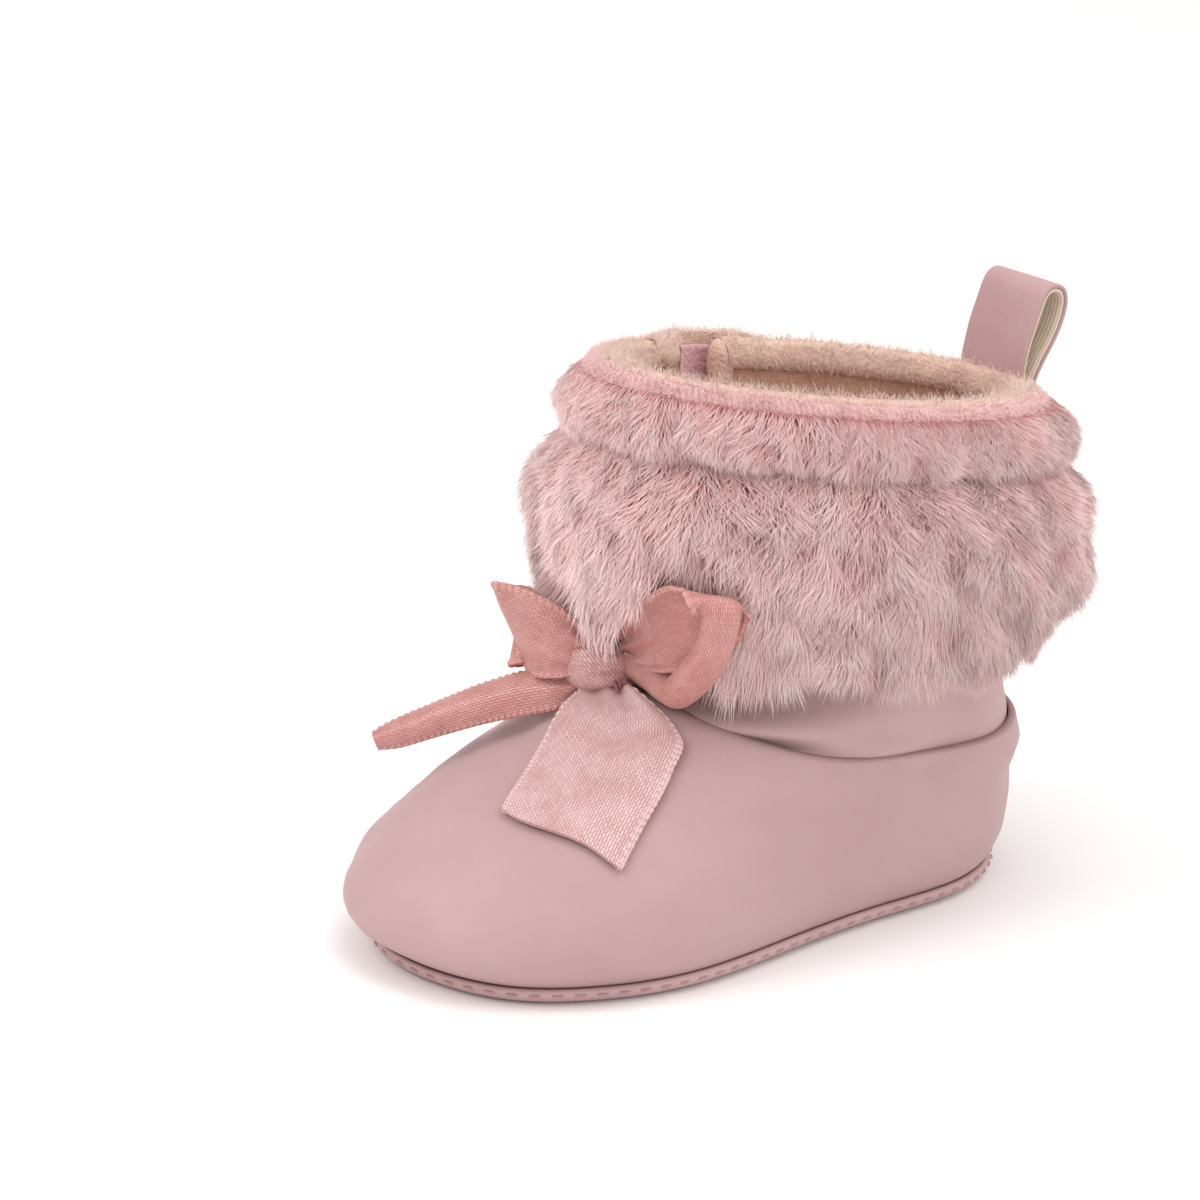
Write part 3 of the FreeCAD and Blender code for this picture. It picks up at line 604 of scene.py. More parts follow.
def make_footbed():
    """Insole pad: crowned on top, flat where it lies on the sole foam."""
    edge = on_last(RING, 4.0, -LINING - 0.55)
    spine = spine_of(edge)
    rows = []
    for share in (0.03, 0.95):
        rows.append(spine + (edge - spine) * share)
        rows[-1][:, 2] = FOOTBED_LOW
    for share in np.linspace(1.0, 0.03, 26):
        ring = spine + (edge - spine) * share
        crown = FOOTBED_TOP - 0.9 + 1.5 * (1 - share**4) + 0.12 * waves(ring, 16.0, 5) * (1 - share**4)
        ring[:, 2] = np.where(share > 0.995, 3.9, crown)
        rows.append(ring)
    faces = tube_faces(len(rows), AROUND)
    pad = add_piece("insole_pad", "boot", "lining_knit", KNIT_LOOK, np.array(rows), faces, ["footbed"])


def foot_top(first, last, share):
    """Height of the upper's top edge, found by halving, at shares of the way from first to last."""
    low, high = np.full(len(share), 24.0), np.full(len(share), 47.0)
    for _ in range(18):
        middle = (low + high) / 2
        u = first(middle) * (1 - share) + last(middle) * share
        over = middle > topline_z(on_last(u, middle, LEATHER)[:, 1])
        low, high = np.where(over, low, middle), np.where(over, middle, high)
    return (low + high) / 2


def foot_columns(first, last, count):
    """Outer and inner surface of the upper between two seams, whose parameters depend on the height."""
    share = np.linspace(0, 1, count)
    top = foot_top(first, last, share)
    s = np.concatenate([np.linspace(0, 0.06, 5)[:-1], np.linspace(0.06, 0.9, 38)[:-1],
                        np.linspace(0.9, 1, 14)])
    z = SOLE_TOP - 0.1 + s[:, None] * (top - SOLE_TOP + 0.1)
    u = first(z) * (1 - share) + last(z) * share
    depth = top - z
    puff = PUFF * (1 - ease(TUCK, TUCK + 6.0, depth))
    rest = on_last(u, z, LEATHER)
    soft = 0.22 * waves(rest, 17.0, 11) + 0.10 * waves(rest, 7.0, 12)
    soft = soft * ease(0.5, 6.0, z - SOLE_TOP) * ease(0.0, 4.0, depth)
    # The skin is drawn in at the sole, rounded over at its top edge, and a little thicker there at the heel.
    offset = SKIN + puff + soft
    offset = offset - 1.0 * np.exp(-(z - SOLE_TOP) / 0.7) - 0.35 * np.exp(-(z - SOLE_TOP) / 3.0)
    turn = np.clip(1 - depth / TOP_ROUND, 0, 1)
    offset = offset - LEATHER * (1 - np.sqrt(np.maximum(1 - turn**2, 0)))
    offset = offset + 0.2 * np.exp(-((depth - 3.4) / 2.2) ** 2) * ease(28.0, 48.0, rest[..., 1])
    for seam in (u[:, :1], u[:, -1:]):
        distance = np.linalg.norm(rest - on_last(seam, z, LEATHER), axis=-1)
        offset = offset - 0.75 * np.exp(-(distance / 0.7) ** 2) - 0.3 * np.exp(-(distance / 3.2) ** 2)
    outer = on_last(u, z, np.maximum(offset, PLY_GAP + 0.05))
    back = slice(None, None, -4)
    inner = on_last(u[back], z[back] - 0.25 * (depth[back] < 0.1), PLY_GAP + puff[back])
    return np.concatenate([outer, inner])


def make_upper():
    """Vamp with the inner side in one piece, and the outer quarter, with seams at the heel and the side."""
    def side(z):
        return side_u(QUARTER_Y, z, level=True)

    for name, first, last, count, node in (
            ("upper_vamp", lambda z: side(z) - TURN + SEAM_GAP, lambda z: TURN / 2 - SEAM_GAP, 300,
             "foot_upper"),
            ("upper_quarter", lambda z: TURN / 2 + SEAM_GAP, lambda z: side(z) - SEAM_GAP, 110,
             "lateral_quarter")):
        grid = foot_columns(first, last, count)
        add_piece(name, "boot", "leather_pink", FOOT_LEATHER_DIMMED_LOOK, grid, band_faces(len(grid), count), [node])


make_outsole()
make_footbed()
make_upper()

for _node, _material in (
        ("sole_foam", FOAM_LOOK), ("foot_lining", KNIT_LOOK), ("shaft_panel", SHAFT_LEATHER_LIFTED_LOOK),
        ("shaft_lining", KNIT_LOOK), ("flap_panel", SHAFT_LEATHER_LIFTED_LOOK), ("flap_lining", KNIT_LOOK),
        ("loop_tape", HOOK_LOOK), ("bow_tack_thread", ROSE_THREAD), ("facing_stitches", BEIGE_THREAD)):
    recolour(_node, _material)


# ---- stitches ----
def surface_of(*names, scale=1.0):
    """Surface of these pieces, to lay things on or to keep things off. scale is its unit, in metres."""
    points, faces = [], []
    for name in names:
        mesh = bpy.data.objects[name].data
        start = len(points)
        points += [v.co / scale for v in mesh.vertices]
        faces += [[start + i for i in p.vertices] for p in mesh.polygons]
    return BVHTree.FromPolygons(points, faces)


def laid_on(tree, u, z):
    """Places on a surface outside the last, and the directions out of it."""
    outside, inside = on_last(u, z, 8.0), on_last(u, z, -1.0)
    inwards = unit(inside - outside)
    hits = [tree.ray_cast(Vector(a * MM), Vector(b))[0] for a, b in zip(outside, inwards)]
    missed = on_last(u, z, LEATHER)
    return np.array([tuple(hit / MM) if hit else tuple(place) for hit, place in zip(hits, missed)]), -inwards


def row_of_stitches(name, node, line, outwards, pitch, length, radius, look=PINK_THREAD):
    """Short threads along a line. Each comes up out of the cloth, lies on it and goes down again."""
    steps, sides = 9, 8
    way = way_along(line)
    t = np.linspace(0, 1, steps)
    at = np.arange(0.0, way[-1] - length, pitch)[:, None] + t * length
    place = np.stack([np.interp(at, way, line[:, i]) for i in range(3)], -1)
    out = unit(np.stack([np.interp(at, way, outwards[:, i]) for i in range(3)], -1))
    side = unit(np.cross(np.gradient(place, axis=1), out))
    arch = np.sin(math.pi * t)
    centre = place + out * (radius * (1.15 * arch**0.5 - 0.75))[None, :, None]
    thick = (radius * (0.4 + 0.6 * arch**0.4))[None, :, None, None]
    turn = 2 * math.pi * np.arange(sides) / sides
    spoke = side[:, :, None] * np.cos(turn)[:, None] - out[:, :, None] * np.sin(turn)[:, None]
    points = centre[:, :, None] + spoke * thick
    faces = []
    for k in range(len(at)):
        faces += tube_faces(steps, sides, k * steps * sides)
    add_piece(name, "boot", "thread_rose", look, points, faces, [node])


def out_of_last(u, z):
    return unit(on_last(u, z, 2.0) - on_last(u, z, 0.0))


def make_stitches():
    u = np.linspace(0, TURN, 600)
    row_of_stitches("sole_threads", "sole_stitches", on_last(u, 1.9, SKIN - 0.03), out_of_last(u, 1.9),
                    3.6, 2.1, 0.26)
    quarter = surface_of("upper_quarter")
    z = np.linspace(4.4, topline_z(QUARTER_Y) - 1.8, 60)
    beside_seam = laid_on(quarter, side_u(QUARTER_Y + 1.5, z, level=True), z)
    row_of_stitches("quarter_threads", "quarter_seam_stitches", *beside_seam, 3.4, 2.0, 0.24)
    z = np.linspace(4.4, topline_z(60.0) - 1.8, 60)
    beside_heel = laid_on(quarter, TURN / 2 + 0.07, z)
    row_of_stitches("heel_threads", "heel_seam_stitches", *beside_heel, 3.4, 2.0, 0.24)
    u = TURN * np.linspace(0.10, 0.90, 500)
    line = on_last(u, 36.0, SKIN)
    for _ in range(4):
        line = on_last(u, topline_z(line[:, 1]) - 1.6, SKIN)
    row_of_stitches("topline_threads", "topline_stitches", line, out_of_last(u, line[:, 2]), 4.0, 2.4, 0.2)


make_stitches()


# ---- bow ----
RIBBON = 0.42
PICOT = 1.15            # distance between two loops of the ribbon's edge
PLEAT_LENGTH = 6.0      # how far the pleats run out from the knot


def in_bow(points):
    """From the bow's own axes to the boot's frame."""
    return KNOT + np.asarray(points, float) @ BOW_AXES


def edge_beads(along, across, width):
    """The woven edge, a row of small loops: 0 to 1."""
    from_edge = np.minimum(across, width - across)
    return (0.5 + 0.5 * np.sin(2 * math.pi * along / PICOT)) * np.exp(-((from_edge - 0.42) / 0.40) ** 2)


def columns_across(count):
    """Places across a ribbon from 0 to 1, closer together near its edges."""
    t = np.linspace(0, 1, count)
    return t - 0.115 * np.sin(2 * math.pi * t)


def ribbon_grid(stations, rows, columns, pleats):
    """Surface of a ribbon. A station is (x, y, z of the middle, x, y, z of its direction across, width,
    curl), in the bow's axes; curl is the angle that the cross-section turns through, in radians."""
    s = spline(stations, rows)
    centre, across, width, curl = s[:, :3], unit(s[:, 3:6]), s[:, 6], s[:, 7]
    along = unit(np.gradient(centre, axis=0))
    across = unit(across - along * (across * along).sum(-1, keepdims=True))
    normal = unit(np.cross(along, across))
    v = columns_across(columns)[None] - 0.5
    bend = np.where(np.abs(curl) < 0.02, 0.02, curl)[:, None]
    radius = width[:, None] / bend
    sideways = radius * np.sin(v * bend)
    outward = radius * (1 - np.cos(v * bend))
    grid = centre[:, None] + across[:, None] * sideways[..., None] + normal[:, None] * outward[..., None]
    fade = np.exp(-way_along(centre) / PLEAT_LENGTH)[:, None]
    folds = pleats * fade * np.sin(v * 2 * math.pi * 2.6 + 0.6)
    return in_bow(grid + normal[:, None] * folds[..., None])


def ribbon_piece(body, grid, width, look):
    """A ribbon of some nominal width, which is the width of its weave."""
    along, across = cloth_lengths(grid)
    across = across * width / across[:, -1:]
    bead = edge_beads(along, across, width)
    points, faces = slab(grid, RIBBON + 0.55 * bead)
    piece = add_piece(f"ribbon_{body}", body, "satin_ribbon", look, points, faces, [f"bow_{body}"],
                      slab_flats(along=along, across=across, bead=bead))
    area = np.linalg.norm(np.cross(np.gradient(grid, axis=0), np.gradient(grid, axis=1)), axis=-1)
    area = area[:-1, :-1].sum() * MM * MM


def make_rolled_ribbons():
    """The two loops and the left tail, which are rolled lengthwise."""
    #        middle                direction across       width curl
    right = ((3.6, 0.8, 3.6, -0.25, 0.85, 0.35, 6.0, 0.6),
             (7.6, 1.8, 9.6, -0.45, 0.85, 0.25, 11.0, 0.3),
             (12.0, 4.0, 15.0, -0.60, 0.78, 0.10, 13.6, 0.15),
             (15.8, 6.2, 19.0, -0.76, 0.62, 0.10, 13.6, 0.3),
             (17.8, 8.4, 21.6, -0.90, 0.34, 0.15, 11.8, 0.9),
             (18.8, 8.6, 24.2, -0.97, 0.12, 0.20, 11.0, 2.4),
             (19.0, 5.2, 25.0, -0.95, 0.26, 0.25, 11.6, 3.9),
             (17.4, -0.4, 22.0, -0.86, 0.46, 0.30, 13.0, 4.7),
             (14.4, -4.6, 16.8, -0.72, 0.62, 0.30, 13.6, 4.8),
             (10.8, -7.2, 11.8, -0.50, 0.80, 0.30, 13.0, 5.0),
             (8.8, -6.6, 8.2, -0.34, 0.88, 0.30, 9.0, 4.2),
             (6.0, -4.2, 5.0, -0.26, 0.92, 0.30, 6.5, 2.6),
             (3.0, -1.8, 2.8, -0.22, 0.95, 0.30, 5.0, 1.2))
    left = ((-2.6, -0.4, 2.6, -0.20, 0.95, 0.20, 5.5, 0.5),
            (-6.0, 0.6, 3.2, -0.26, 0.95, 0.15, 10.0, 0.5),
            (-9.8, 2.2, 2.2, -0.36, 0.92, 0.05, 13.4, 0.4),
            (-13.0, 3.8, -0.6, -0.42, 0.90, -0.05, 14.4, 0.3),
            (-14.8, 4.6, -4.0, -0.44, 0.90, -0.05, 14.4, 0.3),
            (-13.6, 4.2, -7.0, -0.42, 0.90, 0.0, 13.4, 0.3),
            (-9.0, 2.8, -6.4, -0.30, 0.92, 0.0, 10.0, 0.3),
            (-4.2, 1.0, -2.6, -0.20, 0.95, 0.0, 6.0, 0.4))
    tail = ((-2.8, -4.2, 0.2, 0.10, 0.90, -0.40, 5.0, 1.4),
            (-6.5, -4.6, 0.6, 0.15, 0.90, -0.40, 8.5, 1.9),
            (-12.9, -5.5, -0.6, 0.20, 0.90, -0.38, 9.4, 2.2),
            (-19.4, -7.1, -2.4, 0.28, 0.90, -0.34, 9.0, 2.5),
            (-27.5, -10.0, -4.4, 0.34, 0.90, -0.30, 7.8, 2.7),
            (-33.4, -12.4, -5.7, 0.36, 0.90, -0.25, 6.6, 2.8),
            (-36.6, -13.8, -6.3, 0.36, 0.90, -0.25, 4.2, 2.8))
    for body, stations, rows, columns, pleats, width in (
            ("loop_right", right, 240, 40, 0.5, 14.0), ("loop_left", left, 240, 40, 0.5, 14.0),
            ("tail_left", tail, 200, 34, 0.3, 9.0)):
        grid = ribbon_grid(stations, rows, columns, pleats)
        ribbon_piece(body, grid, width, SATIN_SHADED_LOOK)


END_BOW = np.array((0.5, -1.1))     # the cut end lies over the vamp's round, so its middle reaches further
PROBE_Z = 42.5          # where the search for the vamp under the tail starts, below the knot
MISSED_Z = 41.0         # and the height where it finds nothing


def make_tail_front():
    """The tail that lies on the vamp: its two edges in plan, and its height from the vamp under it."""
    left_edge = ((2.4, -22.6), (1.8, -25.6), (2.0, -28.6), (3.0, -32.2), (5.0, -36.4), (7.6, -41.0),
                 (10.2, -45.6))
    right_edge = ((4.6, -20.8), (9.8, -20.2), (17.0, -18.6), (21.4, -19.4), (23.8, -23.2), (26.2, -28.6),
                  (29.6, -36.2))
    clear = (2.4, 2.6, 2.3, 1.7, 1.5, 1.4, 1.3)
    rows, columns = 150, 48
    a, b = spline(left_edge, rows), spline(right_edge, rows)
    gap = spline(np.array(clear)[:, None], rows)
    s, w = np.linspace(0, 1, rows)[:, None], columns_across(columns)[None]
    v = w[..., None]
    plan = a[:, None] * (1 - v) + b[:, None] * v
    plan = plan + END_BOW * 4 * v * (1 - v) * s[..., None] ** 5
    tree = surface_of("upper_vamp", "shaft_panel")
    grid = np.zeros((rows, columns, 3))
    for i in range(rows):
        for j in range(columns):
            x, y = plan[i, j]
            hit = tree.ray_cast(Vector((x * MM, y * MM, PROBE_Z * MM)), Vector((0, 0, -1)))[0]
            grid[i, j] = (x, y, hit.z / MM if hit else MISSED_Z)
    for _ in range(14):
        grid[1:-1, :, 2] = (grid[:-2, :, 2] + grid[1:-1, :, 2] + grid[2:, :, 2]) / 3
    grid[..., 2] += gap
    pleat = 0.9 * np.exp(-s * 6.0) * np.sin(w * 2 * math.pi * 2.4 + 0.5)
    drape = 0.5 * np.exp(-((s - 0.45) / 0.25) ** 2) * np.sin(w * 2 * math.pi * 1.1 + 0.9)
    shoulder = -1.3 * np.exp(-((s - 0.36) / 0.16) ** 2) * ease(0.78, 1.0, w)
    grid[..., 2] += pleat + drape + shoulder
    ribbon_piece("tail_front", grid, 20.0, SATIN_LIT_LOOK)


def make_knot():
    """Knot: ribbon wrapped over itself, in soft diagonal folds."""
    rows, columns = 60, 90
    theta = np.linspace(0.03, math.pi - 0.03, rows)[:, None]
    phi = np.linspace(0, 2 * math.pi, columns, endpoint=False)[None]
    x, y, z = np.cos(theta) + 0 * phi, np.sin(theta) * np.cos(phi), np.sin(theta) * np.sin(phi)
    waist = 1.0 - 0.22 * np.exp(-((x - 0.62) / 0.22) ** 2)
    folds = 0.06 * np.sin(5.4 * (y + x) + 1.2 * z) + 0.035 * np.sin(14.0 * (y + 0.6 * x))
    size = (1 + folds * np.sin(theta)) * waist
    local = np.stack([x * 6.2, y * 4.9 * size - 0.9 * x, z * 4.8 * size], -1)
    turn = math.radians(38)
    spin = np.array(((math.cos(turn), math.sin(turn), 0), (-math.sin(turn), math.cos(turn), 0), (0, 0, 1)))
    points = in_bow(local @ spin + np.array((0.2, -1.4, 0.6)))
    along = np.broadcast_to(phi * 4.4, (rows, columns))
    across = np.broadcast_to(theta * 5.0, (rows, columns))
    add_piece("ribbon_knot", "boot", "satin_ribbon", SATIN_KNOT_SHADED_LOOK, points, tube_faces(rows, columns),
              ["bow_knot"], {"along": along, "across": across})


make_rolled_ribbons()
make_tail_front()
make_knot()


# ---- pull tab ----
# Side view of the loop, from its front root over the top to its back root: y, z.
TAB_LINE = ((60.9, 79.5), (60.3, 82.0), (60.3, 84.4), (61.3, 89.0), (62.8, 93.8), (64.2, 97.1), (66.1, 98.5),
            (68.5, 98.1), (69.8, 96.2), (69.5, 93.3), (67.8, 89.0), (65.6, 85.2), (64.2, 82.2), (63.7, 79.5))
TAB_X = -3.4


def make_pull_tab():
    """Strap and its inner tape. Both go down into the rim seam."""
    line = spline(TAB_LINE, 110)
    along = unit(np.gradient(line, axis=0))
    inwards = np.column_stack([along[:, 1], -along[:, 0]])
    for name, inset, look, slot, nodes, width in (
            ("tab_strap", TAB_PLY / 2, TAB_LOOK, "leather_pink", ["pull_tab_strap", "pull_tab_root"],
             TAB_WIDTH),
            ("tab_lining_tape", TAB_PLY * 1.5 + 0.04, TAB_TAPE_LOOK, "tab_tape_cream", ["pull_tab_tape"],
             TAB_WIDTH - 0.3)):
        x = np.linspace(-width / 2, width / 2, 24)
        grid = np.zeros((len(line), len(x), 3))
        grid[..., 0] = x + TAB_X
        grid[..., 1:] = (line + inwards * inset)[:, None]
        grid[..., 1] += 0.10 * waves(grid, 9.0, 61)
        points, faces = slab(grid, TAB_PLY)
        piece = add_piece(name, None, slot, look, points, faces, nodes)
        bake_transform(piece)


make_pull_tab()


# ---- fur ----
class Band:
    """Strip of the boot by its share of the way round, its height and its distance out from the last. It
    holds the places on a mesh of samples, and reads between them."""
    low, high, rows = 29.0, 91.0, 63
    spare = 0.01            # how far the samples go on past both ends, as a share
    far = 12.0              # distance out of the second layer of samples

    def __init__(self, place, columns=300):
        shares = np.linspace(-self.spare, 1 + self.spare, columns)
        share, z = np.meshgrid(shares, np.linspace(self.low, self.high, self.rows), indexing="ij")
        self.base = place(share, z, 0.0)
        self.step = (place(share, z, self.far) - self.base) / self.far
        self.columns = columns

    def __call__(self, share, z, offset):
        share, z, offset = np.broadcast_arrays(np.asarray(share, float), z, offset)
        s = (share + self.spare) / (1 + 2 * self.spare) * (self.columns - 1)
        t = (z - self.low) / (self.high - self.low) * (self.rows - 1)
        i = np.clip(s.astype(int), 0, self.columns - 2)
        j = np.clip(t.astype(int), 0, self.rows - 2)
        s, t = (s - i)[..., None], (t - j)[..., None]
        out = offset[..., None]

        def corner(a, b):
            return self.base[i + a, j + b] + self.step[i + a, j + b] * out
        return (corner(0, 0) * (1 - s) * (1 - t) + corner(1, 0) * s * (1 - t)
                + corner(0, 1) * (1 - s) * t + corner(1, 1) * s * t)


HEIGHTS = np.linspace(25.0, 95.0, 43)
FOLD_U = side_u(FLAP_START_Y - 0.6, HEIGHTS) - TURN


def place_to(last_y):
    """Places round the fixed part, from the flap's fold by way of the toe and the heel to last_y."""
    last_u = side_u(last_y, HEIGHTS)

    def place(share, z, offset):
        first, last = np.interp(z, HEIGHTS, FOLD_U), np.interp(z, HEIGHTS, last_u)
        return tilted(first + (last - first) * share, z, offset)
    return place


def flap_y(share):
    """From the flap's free edge to its fold."""
    return FLAP_END_Y - share * (FLAP_END_Y - FLAP_START_Y - 1.2)


def flap_place(share, z, offset):
    """On the flap."""
    y = flap_y(share)
    return tilted(side_u(y, z), z - corner_drop(y, z), offset + lift(y))


fixed_band = Band(place_to(FLAP_END_Y + 2.4))      # as far as the flap's free edge
whole_band = Band(place_to(SLIT_END_Y + 0.3))      # on under the flap, as far as the side opening
flap_band = Band(flap_place, columns=120)

BOW_ROOM = 3.6
BOW_ROUTE = (in_bow((3.0, 0.0, 4.0)), in_bow((20.0, 7.5, 20.0)))       # along the right loop


def bow_room(points):
    """Distance from the line of the right loop, less the room that it needs."""
    start, end = BOW_ROUTE
    line = end - start
    t = np.clip(((points - start) @ line) / (line @ line), 0, 1)
    return np.linalg.norm(points - start - t[..., None] * line, axis=-1) - BOW_ROOM


# The bow and the pull tab, in millimetres, for keeping fibres out of them.
GOODS = surface_of("ribbon_loop_right", "ribbon_loop_left", "ribbon_tail_left", "ribbon_tail_front",
                   "ribbon_knot", "tab_strap", scale=MM)


BOW_REACH = 38.0
TAB_REACH = (54.0, 76.0)        # the tab is behind this y and over this z
TIP_GAP = 0.45


def clear_of_goods(root, bend, tip):
    """Which fibres keep off the ribbons and the tab, and don't pass through them."""
    middle = root * 0.25 + bend * 0.5 + tip * 0.25
    clear = np.ones(len(root), bool)
    at_tab = (tip[:, 1] > TAB_REACH[0]) & (tip[:, 2] > TAB_REACH[1])
    near = (np.linalg.norm(tip - KNOT, axis=-1) < BOW_REACH) | at_tab
    for k in np.flatnonzero(near):
        for a, b in ((root[k], middle[k]), (middle[k], tip[k])):
            step = Vector(b - a)
            if GOODS.ray_cast(Vector(a), step.normalized(), step.length + 0.4)[0] is not None:
                clear[k] = False
                break
        if clear[k] and GOODS.find_nearest(Vector(tip[k]), TIP_GAP)[0] is not None:
            clear[k] = False
    return clear


class Fibres:
    """Fibres by root, bend, tip, thickness, brightness (random tone, and in the long pile painted shade in its
    hollows), the way along the boot and the way they face the light. tone is the range of all of them, from
    root to tip."""

    def arrange(self, share):
        """Puts the fibres that don't pass through the bow or the tab in order, round the boot."""
        order = np.argsort(share)
        self.order = order[clear_of_goods(self.root, self.bend, self.tip)[order]]


SPREAD = 0.34           # how far the lie of the pile wanders sideways, as a share of its thickness
ROOT_SHARE = 0.28       # how deep a fibre starts in it
STRAYS = 0.13           # share of the fibres that don't lie with their clump
CLUMP = 8               # fibres in a clump
PULL = 0.36             # how far the fibres of a clump lean together


class Pile(Fibres):
    """Long fibres of one zone of fur. droop is how far they hang, by height; extra is more thickness."""

    def __init__(self, band, low, high, pile, count, seed, droop, length, radius, extra=0.0):
        self.band, self.pile, self.droop, self.length, self.extra = band, pile, droop, length, extra
        self.random = np.random.default_rng(seed)
        self.radius, self.tone, self.seed = radius, (0.0, 1.0), seed
        share, z = self.scatter(count, low, high)
        self.build(share, z, *self.scatter(max(count // CLUMP, 8), low, high))
        self.arrange(share)

    def around(self, share, z, e):
        """The way round the boot at places on the band."""
        return self.band(share + e, z, FUR_BASE) - self.band(share - e, z, FUR_BASE)

    def scatter(self, count, low, high):
        """Evenly spread places on the band."""
        share = self.random.random(count * 3)
        z = low + (high - low) * self.random.random(count * 3)
        speed = np.linalg.norm(self.around(share, z, 0.002), axis=-1)
        keep = self.random.random(count * 3) < speed / np.percentile(speed, 97)
        return share[keep][:count], z[keep][:count]

    def frame(self, share, z):
        base = self.band(share, z, FUR_BASE)
        along = unit(self.around(share, z, 0.004))
        up = self.band(share, z + 0.8, FUR_BASE) - self.band(share, z - 0.8, FUR_BASE)
        up = unit(up - along * (up * along).sum(-1, keepdims=True))
        return base, along, up, unit(np.cross(along, up))

    def lie(self, share, z):
        """Axes at places on the band, and how far the pile's tips are out, sideways and down from them."""
        base, along, up, out = self.frame(share, z)
        thick = smooth(self.pile, z, 1) * self.length
        front = ease(-2.0, 8.0, -base[..., 1])
        heel = ease(30.0, 56.0, base[..., 1])
        low = 1 - ease(50.0, 58.0, base[..., 2])
        more = front * 1.3 + 1.0 * ease(46.0, 58.0, base[..., 1])
        thick = thick + self.extra * more * ease(76.0, 68.0, z)
        thick = thick * (1 - self.extra * 0.42 * heel * (1 - ease(46.0, 62.0, z)))
        room = bow_room(base + out * thick[:, None])
        thick = np.clip(thick, 1.2, np.maximum(room + thick, 1.4))
        lump = 1 + 0.08 * waves(base, 9.0, self.seed + 1) + 0.08 * waves(base, 4.5, self.seed + 2)
        wander = 0.7 * waves(base, 15.0, self.seed + 3) + 0.4 * waves(base, 5.0, self.seed + 4)
        fall = self.droop(z) * (1 + 0.35 * waves(base, 11.0, self.seed + 5))
        fall = fall * (1 + 0.9 * front * low - 0.45 * heel * low)
        # Over the knot the pile parts: it comes down to the knot's top and no further.
        over = front * np.exp(-((base[..., 0] + 1.0) / 5.5) ** 2)
        fall = fall * (1 - over) + np.minimum(fall, base[..., 2] - 49.6) * over
        return base, along, up, out, thick * lump, SPREAD * thick * wander, fall

    def build(self, share, z, centre_share, centre_z):
        count, n = len(share), len(centre_share)
        r = self.random
        base, along, up, out, reach, side, fall = self.lie(share, z)
        c_base, c_along, c_up, c_out, c_reach, c_side, c_fall = self.lie(centre_share, centre_z)
        c_reach = c_reach * r.uniform(0.82, 1.08, n)
        c_tip = (c_base + c_out * c_reach[:, None]
                 + c_along * (c_side + r.normal(0, 0.15, n) * c_reach)[:, None]
                 - c_up * (c_fall * r.uniform(0.75, 1.3, n))[:, None])
        tree = kdtree.KDTree(n)
        for k, point in enumerate(c_base):
            tree.insert(point, k)
        tree.balance()
        near = np.array([tree.find(p)[1] for p in base])
        stray = r.random(count) < STRAYS
        reach = reach * r.uniform(0.90, 1.06, count) * np.where(stray, 1.07, 1.0)
        own = (base + out * reach[:, None] + along * (side + r.normal(0, 0.19, count) * reach)[:, None]
               - up * (fall * r.uniform(0.8, 1.25, count))[:, None])
        together = c_tip[near] + (base - c_base[near]) * 0.45
        k = (np.where(stray, 0.1, PULL) * r.uniform(0.7, 1.1, count))[:, None]
        self.tip = own * (1 - k) + together * k + r.normal(0, 0.28, (count, 3))
        self.root = base + out * (reach * ROOT_SHARE)[:, None]
        self.bend = (self.root + out * (reach * (0.72 - ROOT_SHARE * 0.6))[:, None] + (self.tip - own) * 0.3
                     + along * (side * 0.3)[:, None])
        # Random tone, times painted shade: fibres on the pile's high lumps are lighter and those in its
        # hollows darker, by the same waves as the lumps.
        self.bright = (r.uniform(0.80, 1.0, count) * (0.90 + 0.13 * waves(base, 4.5, self.seed + 2))
                       * np.where(r.random(n) < 0.3, 0.86, 1.0)[near])
        self.along = along
        self.soft = out + 0.35 * up + 0.25 * unit(self.tip - self.root)
        self.thick = self.radius * np.where(stray, 0.6, 1.0) * r.uniform(0.8, 1.2, count)


class Nap(Fibres):
    """Short upright fibres on a strip whose cross-section is a line of (distance out, height) points. lie is
    how far they lean at random."""

    def __init__(self, band, section, count, seed, length, radius, lie, tone=(0.0, 1.0)):
        r = np.random.default_rng(seed)
        line = spline(section, 60)
        normal = np.gradient(line, axis=0)
        normal = unit(np.column_stack([-normal[:, 1], normal[:, 0]]))
        share = r.uniform(0.0, 1.0, count)
        k = r.integers(0, 60, count)
        reach = length * r.uniform(0.5, 1.2, count)

        def place(away):
            return band(share, RIM_Z + line[k, 1] + normal[k, 1] * away, line[k, 0] + normal[k, 0] * away)
        self.root = place(-0.1)
        out = unit(place(1.0) - self.root)
        self.along = unit(band(share + 0.004, RIM_Z, 0.0) - band(share - 0.004, RIM_Z, 0.0))
        lean = r.normal(0, lie, (count, 3)) * reach[:, None]
        self.soft = out + np.array((0, 0, 0.3))
        self.tip = self.root + out * reach[:, None] + lean
        self.bend = self.root + out * (reach * 0.6)[:, None] + lean * 0.2
        self.bright = r.uniform(0.75, 1.0, count)
        self.thick = radius * r.uniform(0.8, 1.2, count)
        self.tone = tone
        self.arrange(share)


STEPS = (0.0, 0.42, 0.76)               # where a fibre's three rings are, from its root to its tip
TAPER = (1.0, 0.95, 0.66)
FIBRE_ROUND = 0.32      # how far a fibre's own roundness turns its shading
PER_PIECE = 12000       # fibres in one mesh, at most
FULL = 1.0       # share of the fibres that this run makes


